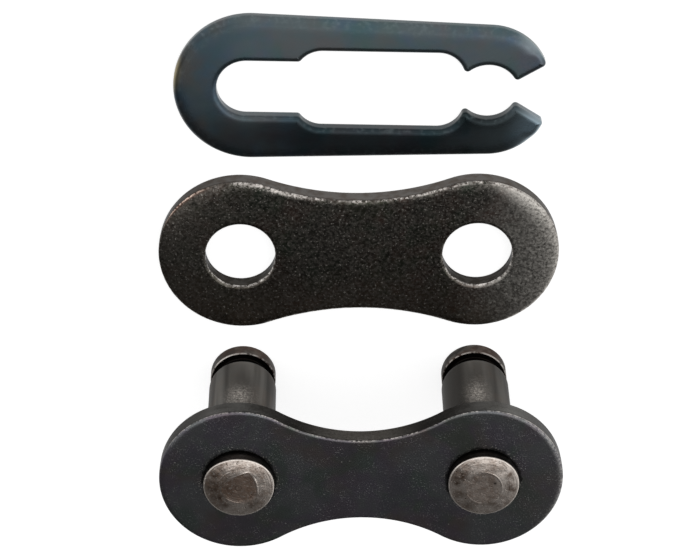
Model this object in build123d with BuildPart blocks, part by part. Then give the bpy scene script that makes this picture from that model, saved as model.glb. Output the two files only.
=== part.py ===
from build123d import *
from math import hypot, radians, sin, tan
import os

os.makedirs("parts", exist_ok=True)

# A spring-clip connecting link for half-inch pitch roller chain, taken apart and laid out:
# the pin link stands on its two pin tips, and the cover plate and the clip lie flat behind it.
# Millimetres, +Z up. The origin is on the table, under the middle of the three pieces.
# Every piece has its long side along X, and the two plates are centred on X = 0.

# ---- Driving dimensions -------------------------------------------------------------------

pitch = 12.7  # between the centres of the two pins

# Pins
pin_diameter = 3.65
tip_diameter = 3.57  # the disc beyond the clip groove, a little under the shank
groove_diameter = 2.85
tip_thickness = 0.86
tip_bevel = 0.15  # outer corner of the free end
shank_lead = 0.08  # small lead chamfer where the shank meets the groove
seat_swell = 0.02  # on the radius: riveting swells the pin into the punched hole's breakout
head_diameter = 3.75  # the upset end that rivets the pin to its plate
head_draft = 0.03  # on the radius, up the side of the head
head_wall = 0.42  # side of the head, above the plate
head_rise = 0.70  # whole height of the head, above the plate
head_flat_diameter = 1.90
head_bevel = 0.12

# Inner link that the pins carry, and the room that it needs
inner_link_width = 6.80
side_slack = 0.15

# Pin plate: the fixed one, with the deeper waist
pin_plate_thickness = 1.10
pin_plate_lobe_diameter = 8.31
pin_plate_waist_width = 4.74
pin_plate_bevel = 0.10  # broken edge of both faces

# Cover plate: the loose one
cover_plate_thickness = 1.10
cover_plate_lobe_diameter = 8.78
cover_plate_waist_width = 6.53
cover_plate_roll = 0.18  # edge of the outer face, rolled over by the blanking die
cover_plate_bevel = 0.08  # broken edge of the inner face
cover_hole_clearance = 0.09  # on the diameter, over the pin
cover_hole_bevel = 0.14

# Spring clip
clip_thickness = 0.75
clip_end_radius = 4.07  # outside of the closed end
clip_back_wall = 2.25  # width of the closed end, outside to slot
clip_open_width = 7.30  # across the two arms, beside the notch
clip_nose_radius = 3.20  # rounds each arm from its side to its tip
clip_slot_width = 3.15  # narrow slot at the closed end
clip_relief_width = 4.42  # wide slot between the arms
clip_relief_round = 1.42
clip_slot_length = 4.10  # narrow slot, from its round end to the wide slot
clip_cusp_lap = 0.34  # how far the wide slot runs into the notch, which leaves the cusps
clip_mouth_angle = 32.0  # degrees of each lead-in flank from the clip's axis
clip_mouth_apex = 0.35  # where the two flanks would meet, beyond the pin
clip_cusp_round = 0.22
clip_roll = 0.19  # edge of the upper face, rolled over by the blanking die
clip_bevel = 0.10  # broken edge of the lower face

# Clearances of the clip on the pins
clip_groove_slack = 0.05  # along the pin
clip_end_clearance = 0.04  # closed end to the bottom of the groove
clip_notch_clearance = 0.145  # notch to the bottom of the groove

# Layout on the table
link_to_cover = 7.98  # along Y, from the pins to the holes of the cover plate
cover_to_clip = 9.53  # along Y, from the holes of the cover plate to the middle of the clip
clip_off_centre = 0.38  # along X, from the middle of the plates to the middle of the clip's pitch
clip_turn = -1.35  # degrees, as it was put down

# ---- Worked out from them -----------------------------------------------------------------

groove_width = clip_thickness + clip_groove_slack
shank_length = inner_link_width + side_slack + cover_plate_thickness
pin_plate_bottom = tip_thickness + groove_width + shank_length
pin_plate_top = pin_plate_bottom + pin_plate_thickness
groove_top = tip_thickness + groove_width
seat_top_radius = pin_diameter / 2 + seat_swell
head_top_radius = head_diameter / 2 - head_draft

clip_seat = groove_diameter / 2 + clip_end_clearance  # slot end, beyond the pin's centre
clip_slot_end = -pitch / 2 - clip_seat
clip_left = clip_slot_end - clip_back_wall
clip_end_x = clip_left + clip_end_radius

# The row runs along Y from the pin plate's front edge to the clip's back edge, and is centred.
row_front = -pin_plate_lobe_diameter / 2
clip_back = clip_end_radius + clip_end_x * sin(radians(clip_turn))
row_back = link_to_cover + cover_to_clip + clip_back
link_y = -(row_front + row_back) / 2
cover_y = link_y + link_to_cover
clip_y = cover_y + cover_to_clip
clip_plane = Plane((clip_off_centre, clip_y, 0)).rotated((0, 0, clip_turn))


def link_plate_outline(lobe_diameter, waist_width):
    """Two round lobes a pitch apart that run into each other through a concave waist."""
    lobe_radius = lobe_diameter / 2
    half_pitch = pitch / 2
    half_waist = waist_width / 2
    waist_radius = (half_pitch**2 + half_waist**2 - lobe_radius**2) / (2 * (lobe_radius - half_waist))
    waist_centre = half_waist + waist_radius
    reach = lobe_radius / hypot(half_pitch, waist_centre)
    join_x = half_pitch * (1 - reach)
    join_y = waist_centre * reach
    lobe_end = half_pitch + lobe_radius
    with BuildSketch() as outline:
        with BuildLine():
            ThreePointArc((join_x, -join_y), (lobe_end, 0), (join_x, join_y))
            ThreePointArc((join_x, join_y), (0, half_waist), (-join_x, join_y))
            ThreePointArc((-join_x, join_y), (-lobe_end, 0), (-join_x, -join_y))
            ThreePointArc((-join_x, -join_y), (0, -half_waist), (join_x, -join_y))
        make_face()
    return outline.sketch


# ---- Pin plate ----------------------------------------------------------------------------
# A stamped plate with the two pins pressed through it, so its holes are the pins' own size
# and open out a little towards the heads, as punched holes do.

with BuildPart() as pin_plate:
    with BuildSketch(Plane((0, link_y, pin_plate_bottom))):
        add(link_plate_outline(pin_plate_lobe_diameter, pin_plate_waist_width))
    extrude(amount=pin_plate_thickness)
    plate_faces = pin_plate.faces().filter_by(Axis.Z)
    chamfer(plate_faces.edges(), length=pin_plate_bevel)
    with Locations(Plane((0, link_y, pin_plate_bottom))):
        with GridLocations(pitch, 0, 2, 1):
            Cone(
                pin_diameter / 2,
                seat_top_radius,
                pin_plate_thickness,
                align=(Align.CENTER, Align.CENTER, Align.MIN),
                mode=Mode.SUBTRACT,
            )
pin_plate.part.label = "pin_plate"
export_step(pin_plate.part, "parts/pin_plate.step")

# ---- Pins ---------------------------------------------------------------------------------
# Turned steel: tip disc, clip groove and shank, with the far end upset over the pin plate.

for side, pin_x in (("left", -pitch / 2), ("right", pitch / 2)):
    with BuildPart() as pin:
        with BuildSketch(Plane(origin=(pin_x, link_y, 0), x_dir=(1, 0, 0), z_dir=(0, -1, 0))):
            with BuildLine():
                Polyline(
                    (0, 0),
                    (tip_diameter / 2, 0),
                    (tip_diameter / 2, tip_thickness),
                    (groove_diameter / 2, tip_thickness),
                    (groove_diameter / 2, groove_top),
                    (pin_diameter / 2 - shank_lead, groove_top),
                    (pin_diameter / 2, groove_top + shank_lead),
                    (pin_diameter / 2, pin_plate_bottom),
                    (seat_top_radius, pin_plate_top),
                    (head_diameter / 2, pin_plate_top),
                    (head_top_radius, pin_plate_top + head_wall),
                    (head_flat_diameter / 2, pin_plate_top + head_rise),
                    (0, pin_plate_top + head_rise),
                    close=True,
                )
            pin_profile = make_face()
            tip_corner = pin_profile.vertices().group_by(Axis.Y)[0].sort_by(Axis.X)[-1]
            head_corner = pin_profile.vertices().group_by(Axis.Y)[-2].sort_by(Axis.X)[-1]
            chamfer(tip_corner, length=tip_bevel)
            chamfer(head_corner, length=head_bevel)
        revolve(axis=Axis((pin_x, link_y, 0), (0, 0, 1)))
    pin.part.label = f"{side}_pin"
    export_step(pin.part, f"parts/{side}_pin.step")

# ---- Cover plate --------------------------------------------------------------------------
# The loose plate that slides over the pins before the clip goes on.

cover_hole_diameter = pin_diameter + cover_hole_clearance

with BuildPart() as cover_plate:
    with BuildSketch(Plane((0, cover_y, 0))):
        add(link_plate_outline(cover_plate_lobe_diameter, cover_plate_waist_width))
    extrude(amount=cover_plate_thickness)
    cover_faces = cover_plate.faces().filter_by(Axis.Z).sort_by(Axis.Z)
    inner_edges = cover_faces[0].edges()
    outer_edges = cover_faces[-1].edges()
    chamfer(inner_edges, length=cover_plate_bevel)
    fillet(outer_edges, radius=cover_plate_roll)
    with Locations(Plane((0, cover_y, cover_plate_thickness))):
        with GridLocations(pitch, 0, 2, 1):
            Hole(cover_hole_diameter / 2)
    hole_rims = cover_plate.edges().filter_by(GeomType.CIRCLE).filter_by(
        lambda rim: abs(rim.radius - cover_hole_diameter / 2) < 1e-6
    )
    chamfer(hole_rims, length=cover_hole_bevel)
cover_plate.part.label = "cover_plate"
export_step(cover_plate.part, "parts/cover_plate.step")

# ---- Spring clip --------------------------------------------------------------------------
# A flat stamped fork. Its closed end and its notch sit in the two grooves a pitch apart, its
# arms spring apart over the pin, and the cusps each side of the notch snap in behind it.
# In the sketch, X = 0 is the middle of the pitch and Y = 0 is the clip's axis.

slot_radius = clip_slot_width / 2
notch_radius = groove_diameter / 2 + clip_notch_clearance
nose_y = clip_open_width / 2 - clip_nose_radius
relief_left = clip_slot_end + clip_slot_length
relief_right = pitch / 2 - notch_radius + clip_cusp_lap
mouth_apex = pitch / 2 + clip_mouth_apex
mouth_end = pitch / 2 + clip_nose_radius
mouth_half = (mouth_end - mouth_apex) * tan(radians(clip_mouth_angle))

with BuildPart() as spring_clip:
    with BuildSketch(clip_plane) as clip_outline:
        with Locations((clip_end_x, 0)):
            Circle(clip_end_radius)
        with Locations((pitch / 2, nose_y), (pitch / 2, -nose_y)):
            Circle(clip_nose_radius)
        make_hull()
        with Locations((clip_slot_end + slot_radius, 0)):
            Circle(slot_radius, mode=Mode.SUBTRACT)
            Rectangle(
                clip_slot_length - slot_radius + clip_relief_round,
                clip_slot_width,
                align=(Align.MIN, Align.CENTER),
                mode=Mode.SUBTRACT,
            )
        with Locations(((relief_left + relief_right) / 2, 0)):
            RectangleRounded(
                relief_right - relief_left,
                clip_relief_width,
                clip_relief_round,
                mode=Mode.SUBTRACT,
            )
        with Locations((pitch / 2, 0)):
            Circle(notch_radius, mode=Mode.SUBTRACT)
        Polygon(
            (mouth_apex, 0),
            (mouth_end, -mouth_half),
            (mouth_end, mouth_half),
            align=None,
            mode=Mode.SUBTRACT,
        )
        outline_corners = clip_outline.vertices()
        cusps = outline_corners.filter_by(
            lambda corner: abs(hypot(corner.X - pitch / 2, corner.Y) - notch_radius) < 1e-5
        )
        slot_corners = outline_corners.filter_by(
            lambda corner: abs(abs(corner.Y) - slot_radius) < 1e-5 and corner.X > relief_left
        )
        tips = outline_corners.sort_by(Axis.X)[-2:]
        fillet(cusps + slot_corners + tips, radius=clip_cusp_round)
    extrude(amount=clip_thickness)
    clip_faces = spring_clip.faces().filter_by(Axis.Z).sort_by(Axis.Z)
    lower_edges = clip_faces[0].edges()
    upper_edges = clip_faces[-1].edges()
    chamfer(lower_edges, length=clip_bevel)
    fillet(upper_edges, radius=clip_roll)
spring_clip.part.label = "spring_clip"
export_step(spring_clip.part, "parts/spring_clip.step")
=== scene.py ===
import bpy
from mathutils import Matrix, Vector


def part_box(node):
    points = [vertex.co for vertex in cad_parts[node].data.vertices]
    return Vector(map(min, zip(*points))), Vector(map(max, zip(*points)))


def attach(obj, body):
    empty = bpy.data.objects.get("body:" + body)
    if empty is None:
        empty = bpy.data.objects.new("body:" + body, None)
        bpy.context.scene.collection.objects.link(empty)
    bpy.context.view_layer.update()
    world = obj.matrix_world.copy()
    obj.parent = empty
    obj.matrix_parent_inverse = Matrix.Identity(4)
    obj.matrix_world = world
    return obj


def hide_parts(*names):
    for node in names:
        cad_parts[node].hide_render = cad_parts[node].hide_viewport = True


bl_info = {
    "name": "Chain connecting link",
    "version": (1, 0, 0),
    "blender": (4, 5, 0),
    "location": "View3D > Sidebar > Connecting Link",
    "description": "A spring-clip connecting link for roller chain, taken apart and laid out",
    "category": "Add Mesh",
}

from math import acos, atan2, ceil, cos, degrees, exp, hypot, pi, radians, sin, sqrt

import bpy
import numpy as np
from bpy.props import FloatProperty, FloatVectorProperty, IntProperty, PointerProperty
from mathutils import Matrix, Vector, noise

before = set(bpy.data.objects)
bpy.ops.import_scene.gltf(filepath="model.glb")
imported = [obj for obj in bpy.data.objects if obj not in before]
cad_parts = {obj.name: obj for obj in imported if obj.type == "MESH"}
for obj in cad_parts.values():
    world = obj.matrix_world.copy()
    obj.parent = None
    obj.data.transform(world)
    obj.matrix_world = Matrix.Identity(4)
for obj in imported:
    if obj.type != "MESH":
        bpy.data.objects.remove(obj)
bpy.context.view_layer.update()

# Everything is in metres. Points closer than the weld become one, and every piece is fixed in
# the one body that the part has.
MM = 0.001
WELD = 0.00005 * MM
BODY = "root"


def cad_size(node, axis):
    """How long a CAD node is along one axis, in metres."""
    low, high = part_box(node)
    return high[axis] - low[axis]


def middle(node):
    """Where the middle of a CAD node stands on the table, and how high its underside is."""
    low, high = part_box(node)
    return (low.x + high.x) / 2, (low.y + high.y) / 2, low.z


def linear(hex_colour):
    """An sRGB hex colour as the linear colour that Blender's sockets take."""
    channels = [int(hex_colour[i : i + 2], 16) / 255 for i in (1, 3, 5)]
    return tuple(c / 12.92 if c <= 0.04045 else ((c + 0.055) / 1.055) ** 2.4 for c in channels)


# ---- Sizes and colours that a user would change -------------------------------------------


def length(name, description, default):
    """A length property, in metres."""
    return FloatProperty(
        name=name,
        description=description,
        default=default,
        min=0,
        unit="LENGTH",
        subtype="DISTANCE",
        precision=5,
    )


def colour(name, description, hex_colour):
    """A colour property."""
    return FloatVectorProperty(
        name=name,
        description=description,
        default=linear(hex_colour),
        size=3,
        min=0,
        max=1,
        subtype="COLOR",
    )


class ConnectingLinkSizes(bpy.types.PropertyGroup):
    """Sizes of the link's three stampings and two pins."""

    pitch: length("Pitch", "Between the centres of the two pins", 12.7 * MM)
    pin_diameter: length("Pin diameter", "Diameter of the shank", 3.65 * MM)
    tip_diameter: length("Tip diameter", "Disc beyond the clip groove", 3.57 * MM)
    groove_diameter: length("Groove diameter", "Bottom of the clip groove", 2.85 * MM)
    head_diameter: length("Head diameter", "Riveted head", 3.75 * MM)
    hole_diameter: length("Cover hole diameter", "Clearance hole of the cover plate", 3.74 * MM)
    pin_plate_waist: length("Pin plate waist", "Narrowest width of the pin plate", 4.74 * MM)
    cover_plate_waist: length("Cover plate waist", "Narrowest width of the cover plate", 6.53 * MM)
    sample_step: length("Outline step", "Spacing of the points along each outline", 0.07 * MM)
    pin_segments: IntProperty(name="Pin segments", description="Faces round a pin", default=320, min=24)


class ConnectingLinkFinish(bpy.types.PropertyGroup):
    """Colours of the steels."""

    cover_oxide: colour("Cover plate oxide", "Brown-black oxide of the cover plate", "#35332f")
    pin_plate_oxide: colour("Pin plate oxide", "Blue-black oxide of the pin plate", "#5d5e60")
    clip_temper: colour("Clip temper", "Blue-grey temper colour of the clip", "#4d5659")
    shank_steel: colour("Pin shank", "Ground, case-hardened steel", "#42403d")
    head_steel: colour("Rivet head", "Bare steel of the worked pin ends", "#c3b9b1")
    worn_steel: colour("Worn edges", "Bare steel where the oxide has rubbed off", "#cfc9c3")


# ---- Small helpers ------------------------------------------------------------------------


def add_node(tree, kind, settings=None, inputs=None):
    """Adds one node, sets its own settings, and fills or links its inputs."""
    made = tree.nodes.new(kind)
    for name, value in (settings or {}).items():
        setattr(made, name, value)
    for key, value in (inputs or {}).items():
        socket = made.inputs[key]
        if isinstance(value, bpy.types.NodeSocket):
            tree.links.new(value, socket)
        else:
            socket.default_value = value
    return made


def new_tree(name, inputs):
    """A geometry node tree with named inputs and one geometry output."""
    tree = bpy.data.node_groups.new(name, "GeometryNodeTree")
    for label, kind in inputs:
        tree.interface.new_socket(name=label, in_out="INPUT", socket_type=kind)
    tree.interface.new_socket(name="Geometry", in_out="OUTPUT", socket_type="NodeSocketGeometry")
    return tree, add_node(tree, "NodeGroupInput").outputs


def paint_layers(mesh, layers):
    """Gives a mesh new float layers, with one value for each of its points."""
    for layer, values in layers.items():
        mesh.attributes.new(layer, "FLOAT", "POINT").data.foreach_set("value", values)


def wire(name, points, closed, layers):
    """A mesh of edges through some points, with float layers on the points."""
    count = len(points)
    edges = [(i, i + 1) for i in range(count - 1)]
    if closed:
        edges.append((count - 1, 0))
    mesh = bpy.data.meshes.new(name)
    mesh.from_pydata([(x, y, 0) for x, y in points], edges, [])
    paint_layers(mesh, layers)
    return mesh


def shared_tree(name, build):
    """A node tree by name, built the first time that it is asked for."""
    return bpy.data.node_groups.get(name) or build()


def grown_piece(name, base, tree, inputs):
    """Grows a piece from a base mesh with a tree, and keeps the result as a plain mesh."""
    piece = bpy.data.objects.new(name, base)
    bpy.context.scene.collection.objects.link(piece)
    modifier = piece.modifiers.new(tree.name, "NODES")
    modifier.node_group = tree
    for socket in tree.interface.items_tree:
        if socket.in_out == "INPUT" and socket.name in inputs:
            modifier[socket.identifier] = inputs[socket.name]
    grown = piece.evaluated_get(bpy.context.evaluated_depsgraph_get())
    mesh = bpy.data.meshes.new_from_object(grown)
    piece.modifiers.clear()
    piece.data = mesh
    if not mesh.polygons:
        raise RuntimeError(name + " came out of its node tree empty")
    return piece


def hand_over(piece, node):
    """Puts a finished piece in the place of its CAD node."""
    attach(piece, BODY)
    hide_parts(node)


# ---- Geometry nodes -----------------------------------------------------------------------


# Room for an inset where no other edge stands in its way, in metres
FREE_ROOM = 1.0
# How softly an inset is held back where its room ends
ROOM_BLEND = 0.03 * MM
# The noise from which a rim is nicked, the noise at which the nick is full, and its finer parts
NICK_START = 0.42
NICK_FULL = 0.75
NICK_DETAIL = 3.0
NICK_ROUGHNESS = 0.55
# How deep the nicks go, how many there are to a metre, and which noise they follow
WEAR_INPUTS = ("Wear", "Wear Grain", "Seed")


def sweep_edge_tree():
    """Carries a cross-section along a flat path that runs anticlockwise.

    A section point has an inset, measured into the metal from the path, and a height. Where
    the path's broad layer is 1, it moves in by its spread and down by its fall as well. Where
    the metal is too narrow for the inset, the path's room layer holds it back. The rim layer
    says how much of the wear, a depth in metres, a point of the section takes.
    """
    tree, given = new_tree(
        "Sweep edge",
        [
            ("Path", "NodeSocketGeometry"),
            ("Section", "NodeSocketGeometry"),
            *((name, "NodeSocketFloat") for name in WEAR_INPUTS),
        ],
    )
    position = add_node(tree, "GeometryNodeInputPosition").outputs[0]
    tangent = add_node(tree, "GeometryNodeInputTangent").outputs[0]
    outward = add_node(
        tree, "ShaderNodeVectorMath", {"operation": "CROSS_PRODUCT"}, {0: tangent, 1: (0, 0, 1)}
    )
    path = add_node(tree, "GeometryNodeCaptureAttribute", {"domain": "POINT"}, {"Geometry": given["Path"]})
    path.capture_items.new("VECTOR", "Place")
    path.capture_items.new("VECTOR", "Outward")
    tree.links.new(position, path.inputs["Place"])
    tree.links.new(outward.outputs[0], path.inputs["Outward"])
    swept = add_node(
        tree,
        "GeometryNodeCurveToMesh",
        None,
        {"Curve": path.outputs["Geometry"], "Profile Curve": given["Section"], "Fill Caps": False},
    )
    layers = {}
    for name in ("inset", "height", "spread", "fall", "broad", "room", "rim"):
        layer = add_node(tree, "GeometryNodeInputNamedAttribute", {"data_type": "FLOAT"}, {"Name": name})
        layers[name] = layer.outputs[0]
    reach = add_node(
        tree,
        "ShaderNodeMath",
        {"operation": "MULTIPLY_ADD"},
        {0: layers["spread"], 1: layers["broad"], 2: layers["inset"]},
    )
    inset = add_node(
        tree,
        "ShaderNodeMath",
        {"operation": "SMOOTH_MIN"},
        {0: reach.outputs[0], 1: layers["room"], 2: ROOM_BLEND},
    )
    sunk = add_node(
        tree, "ShaderNodeMath", {"operation": "MULTIPLY"}, {0: layers["fall"], 1: layers["broad"]}
    )
    height = add_node(
        tree, "ShaderNodeMath", {"operation": "SUBTRACT"}, {0: layers["height"], 1: sunk.outputs[0]}
    )
    inward = add_node(tree, "ShaderNodeMath", {"operation": "MULTIPLY"}, {0: inset.outputs[0], 1: -1.0})
    shift = add_node(
        tree,
        "ShaderNodeVectorMath",
        {"operation": "SCALE"},
        {0: path.outputs["Outward"], "Scale": inward.outputs[0]},
    )
    flat = add_node(
        tree, "ShaderNodeVectorMath", {"operation": "ADD"}, {0: path.outputs["Place"], 1: shift.outputs[0]}
    )
    lift = add_node(tree, "ShaderNodeCombineXYZ", None, {"Z": height.outputs[0]})
    place = add_node(
        tree, "ShaderNodeVectorMath", {"operation": "ADD"}, {0: flat.outputs[0], 1: lift.outputs[0]}
    )
    shaped = add_node(
        tree,
        "GeometryNodeSetPosition",
        None,
        {"Geometry": swept.outputs[0], "Position": place.outputs[0]},
    )
    grain = add_node(
        tree,
        "ShaderNodeTexNoise",
        {"noise_dimensions": "4D"},
        {
            "Vector": position,
            "W": given["Seed"],
            "Scale": given["Wear Grain"],
            "Detail": NICK_DETAIL,
            "Roughness": NICK_ROUGHNESS,
        },
    )
    cut = add_node(
        tree,
        "ShaderNodeMapRange",
        None,
        {0: grain.outputs["Fac"], 1: NICK_START, 2: NICK_FULL, 3: 0.0, 4: -1.0},
    )
    worn = cut
    for share in (layers["rim"], given["Wear"]):
        worn = add_node(tree, "ShaderNodeMath", {"operation": "MULTIPLY"}, {0: worn.outputs[0], 1: share})
    normal = add_node(tree, "GeometryNodeInputNormal").outputs[0]
    nick = add_node(
        tree, "ShaderNodeVectorMath", {"operation": "SCALE"}, {0: normal, "Scale": worn.outputs[0]}
    )
    nicked = add_node(
        tree, "GeometryNodeSetPosition", None, {"Geometry": shaped.outputs[0], "Offset": nick.outputs[0]}
    )
    add_node(tree, "NodeGroupOutput", None, {"Geometry": nicked.outputs[0]})
    return tree


def finish_piece(tree, given, shell, **turn):
    """Ends a tree: lays its closed shell in place, as one smooth piece of its own material."""
    laid = add_node(
        tree,
        "GeometryNodeTransform",
        None,
        {"Geometry": shell.outputs[0], "Translation": given["Place"], **turn},
    )
    smooth = add_node(tree, "GeometryNodeSetShadeSmooth", None, {"Geometry": laid.outputs[0]})
    real = add_node(tree, "GeometryNodeRealizeInstances", None, {"Geometry": smooth.outputs[0]})
    steel = add_node(
        tree,
        "GeometryNodeSetMaterial",
        None,
        {"Geometry": real.outputs[0], "Material": given["Material"]},
    )
    add_node(tree, "NodeGroupOutput", None, {"Geometry": steel.outputs[0]})
    return tree


def stamped_blank_tree():
    """A flat stamping: its rolled edge follows the outline, and its holes are punched a pitch apart."""
    tree, given = new_tree(
        "Stamped blank",
        [
            ("Outline", "NodeSocketGeometry"),
            ("Edge Section", "NodeSocketObject"),
            ("Hole Section", "NodeSocketObject"),
            ("Hole Count", "NodeSocketInt"),
            ("Pitch", "NodeSocketFloat"),
            ("Hole Radius", "NodeSocketFloat"),
            ("Hole Segments", "NodeSocketInt"),
            ("Thickness", "NodeSocketFloat"),
            *((name, "NodeSocketFloat") for name in WEAR_INPUTS),
            ("Place", "NodeSocketVector"),
            ("Turn", "NodeSocketRotation"),
            ("Material", "NodeSocketMaterial"),
        ],
    )
    outline = add_node(tree, "GeometryNodeMeshToCurve", None, {"Mesh": given["Outline"]})
    circle = add_node(
        tree,
        "GeometryNodeCurvePrimitiveCircle",
        None,
        {"Resolution": given["Hole Segments"], "Radius": given["Hole Radius"]},
    )
    clockwise = add_node(tree, "GeometryNodeReverseCurve", None, {"Curve": circle.outputs[0]})
    roomy = add_node(
        tree,
        "GeometryNodeStoreNamedAttribute",
        {"data_type": "FLOAT", "domain": "POINT"},
        {"Geometry": clockwise.outputs[0], "Name": "room", "Value": FREE_ROOM},
    )
    left = add_node(tree, "ShaderNodeMath", {"operation": "MULTIPLY"}, {0: given["Pitch"], 1: -0.5})
    first = add_node(tree, "ShaderNodeCombineXYZ", None, {"X": left.outputs[0]})
    apart = add_node(tree, "ShaderNodeCombineXYZ", None, {"X": given["Pitch"]})
    centres = add_node(
        tree,
        "GeometryNodeMeshLine",
        None,
        {"Count": given["Hole Count"], "Start Location": first.outputs[0], "Offset": apart.outputs[0]},
    )
    punched = add_node(
        tree,
        "GeometryNodeInstanceOnPoints",
        None,
        {"Points": centres.outputs[0], "Instance": roomy.outputs[0]},
    )
    hole_paths = add_node(tree, "GeometryNodeRealizeInstances", None, {"Geometry": punched.outputs[0]})
    walls = add_node(tree, "GeometryNodeJoinGeometry")
    for path, name in ((outline, "Edge Section"), (hole_paths, "Hole Section")):
        drawn = add_node(tree, "GeometryNodeObjectInfo", None, {"Object": given[name]})
        section = add_node(tree, "GeometryNodeMeshToCurve", None, {"Mesh": drawn.outputs["Geometry"]})
        wall = add_node(
            tree,
            "GeometryNodeGroup",
            {"node_tree": shared_tree("Sweep edge", sweep_edge_tree)},
            {
                "Path": path.outputs[0],
                "Section": section.outputs[0],
                **{wear: given[wear] for wear in WEAR_INPUTS},
            },
        )
        tree.links.new(wall.outputs[0], walls.inputs[0])
    faces_at = add_node(tree, "GeometryNodeInputMeshEdgeNeighbors").outputs[0]
    open_edge = add_node(
        tree, "FunctionNodeCompare", {"data_type": "INT", "operation": "EQUAL"}, {2: faces_at, 3: 1}
    )
    loops = add_node(
        tree,
        "GeometryNodeMeshToCurve",
        None,
        {"Mesh": walls.outputs[0], "Selection": open_edge.outputs[0]},
    )
    position = add_node(tree, "GeometryNodeInputPosition").outputs[0]
    height = add_node(tree, "ShaderNodeSeparateXYZ", None, {0: position}).outputs[2]
    half = add_node(tree, "ShaderNodeMath", {"operation": "MULTIPLY"}, {0: given["Thickness"], 1: 0.5})
    above = add_node(
        tree,
        "FunctionNodeCompare",
        {"data_type": "FLOAT", "operation": "GREATER_THAN"},
        {0: height, 1: half.outputs[0]},
    )
    sides = add_node(
        tree,
        "GeometryNodeSeparateGeometry",
        {"domain": "POINT"},
        {"Geometry": loops.outputs[0], "Selection": above.outputs[0]},
    )
    upper, lower = (
        add_node(tree, "GeometryNodeFillCurve", {"mode": "TRIANGLES"}, {"Curve": loop})
        for loop in sides.outputs
    )
    rise = add_node(tree, "ShaderNodeCombineXYZ", None, {"Z": given["Thickness"]})
    raised = add_node(
        tree,
        "GeometryNodeTransform",
        None,
        {"Geometry": upper.outputs[0], "Translation": rise.outputs[0]},
    )
    turned = add_node(tree, "GeometryNodeFlipFaces", None, {"Mesh": lower.outputs[0]})
    shell = add_node(tree, "GeometryNodeJoinGeometry")
    for part in (turned, raised, walls):
        tree.links.new(part.outputs[0], shell.inputs[0])
    closed = add_node(
        tree, "GeometryNodeMergeByDistance", None, {"Geometry": shell.outputs[0], "Distance": WELD}
    )
    return finish_piece(tree, given, closed, Rotation=given["Turn"])


def turned_pin_tree():
    """A turned pin: its half section goes round the axis, and closes at both ends."""
    tree, given = new_tree(
        "Turned pin",
        [
            ("Half Section", "NodeSocketGeometry"),
            ("Radius", "NodeSocketFloat"),
            ("Segments", "NodeSocketInt"),
            ("Place", "NodeSocketVector"),
            ("Material", "NodeSocketMaterial"),
        ],
    )
    circle = add_node(
        tree,
        "GeometryNodeCurvePrimitiveCircle",
        None,
        {"Resolution": given["Segments"], "Radius": given["Radius"]},
    )
    roomy = add_node(
        tree,
        "GeometryNodeStoreNamedAttribute",
        {"data_type": "FLOAT", "domain": "POINT"},
        {"Geometry": circle.outputs[0], "Name": "room", "Value": FREE_ROOM},
    )
    section = add_node(tree, "GeometryNodeMeshToCurve", None, {"Mesh": given["Half Section"]})
    turned = add_node(
        tree,
        "GeometryNodeGroup",
        {"node_tree": shared_tree("Sweep edge", sweep_edge_tree)},
        {"Path": roomy.outputs[0], "Section": section.outputs[0]},
    )
    closed = add_node(
        tree, "GeometryNodeMergeByDistance", None, {"Geometry": turned.outputs[0], "Distance": WELD}
    )
    outside_out = add_node(tree, "GeometryNodeFlipFaces", None, {"Mesh": closed.outputs[0]})
    return finish_piece(tree, given, outside_out)


# ---- Flat outlines ------------------------------------------------------------------------


# The fewest points that an arc and a straight line get, and the shortest stretch that is drawn
# as a line of its own, as a share of the outline's step
ARC_POINTS = 3
LINE_POINTS = 2
SHORTEST_LINE = 0.1


def arc(centre, radius, start, end, step):
    """Points along an arc between two angles, without the last one."""
    count = max(ARC_POINTS, ceil(abs(end - start) * radius / step))
    angles = [start + (end - start) * i / count for i in range(count)]
    return [(centre[0] + radius * cos(a), centre[1] + radius * sin(a)) for a in angles]


def straight(start, end, step):
    """Points along a straight line, without the last one."""
    count = max(LINE_POINTS, ceil(hypot(end[0] - start[0], end[1] - start[1]) / step))
    return [
        (start[0] + (end[0] - start[0]) * i / count, start[1] + (end[1] - start[1]) * i / count)
        for i in range(count)
    ]


def swing(centre, radius, first, last, clockwise, step):
    """Points along an arc from one point on it to another, going round a given way."""
    start = atan2(first[1] - centre[1], first[0] - centre[0])
    end = atan2(last[1] - centre[1], last[0] - centre[0])
    if clockwise and end > start:
        end -= 2 * pi
    if not clockwise and end < start:
        end += 2 * pi
    return arc(centre, radius, start, end, step)


def circles_meet(first, first_radius, second, second_radius, near):
    """The crossing of two circles that is nearer to a given point."""
    apart = second - first
    gap = apart.length
    along = (gap**2 + first_radius**2 - second_radius**2) / (2 * gap)
    across = sqrt(first_radius**2 - along**2)
    foot = first + apart / gap * along
    side = Vector((-apart.y, apart.x)) / gap * across
    return min((foot + side, foot - side), key=lambda point: (point - near).length)


def circle_meets_line(centre, radius, start, direction, near):
    """The crossing of a circle and a line that is nearer to a given point."""
    foot = start + direction * (centre - start).dot(direction)
    reach = direction * sqrt(radius**2 - (foot - centre).length_squared)
    return min((foot + reach, foot - reach), key=lambda point: (point - near).length)


def towards(centre, radius, point):
    """The point of a circle that faces another point."""
    return centre + (point - centre).normalized() * radius


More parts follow.
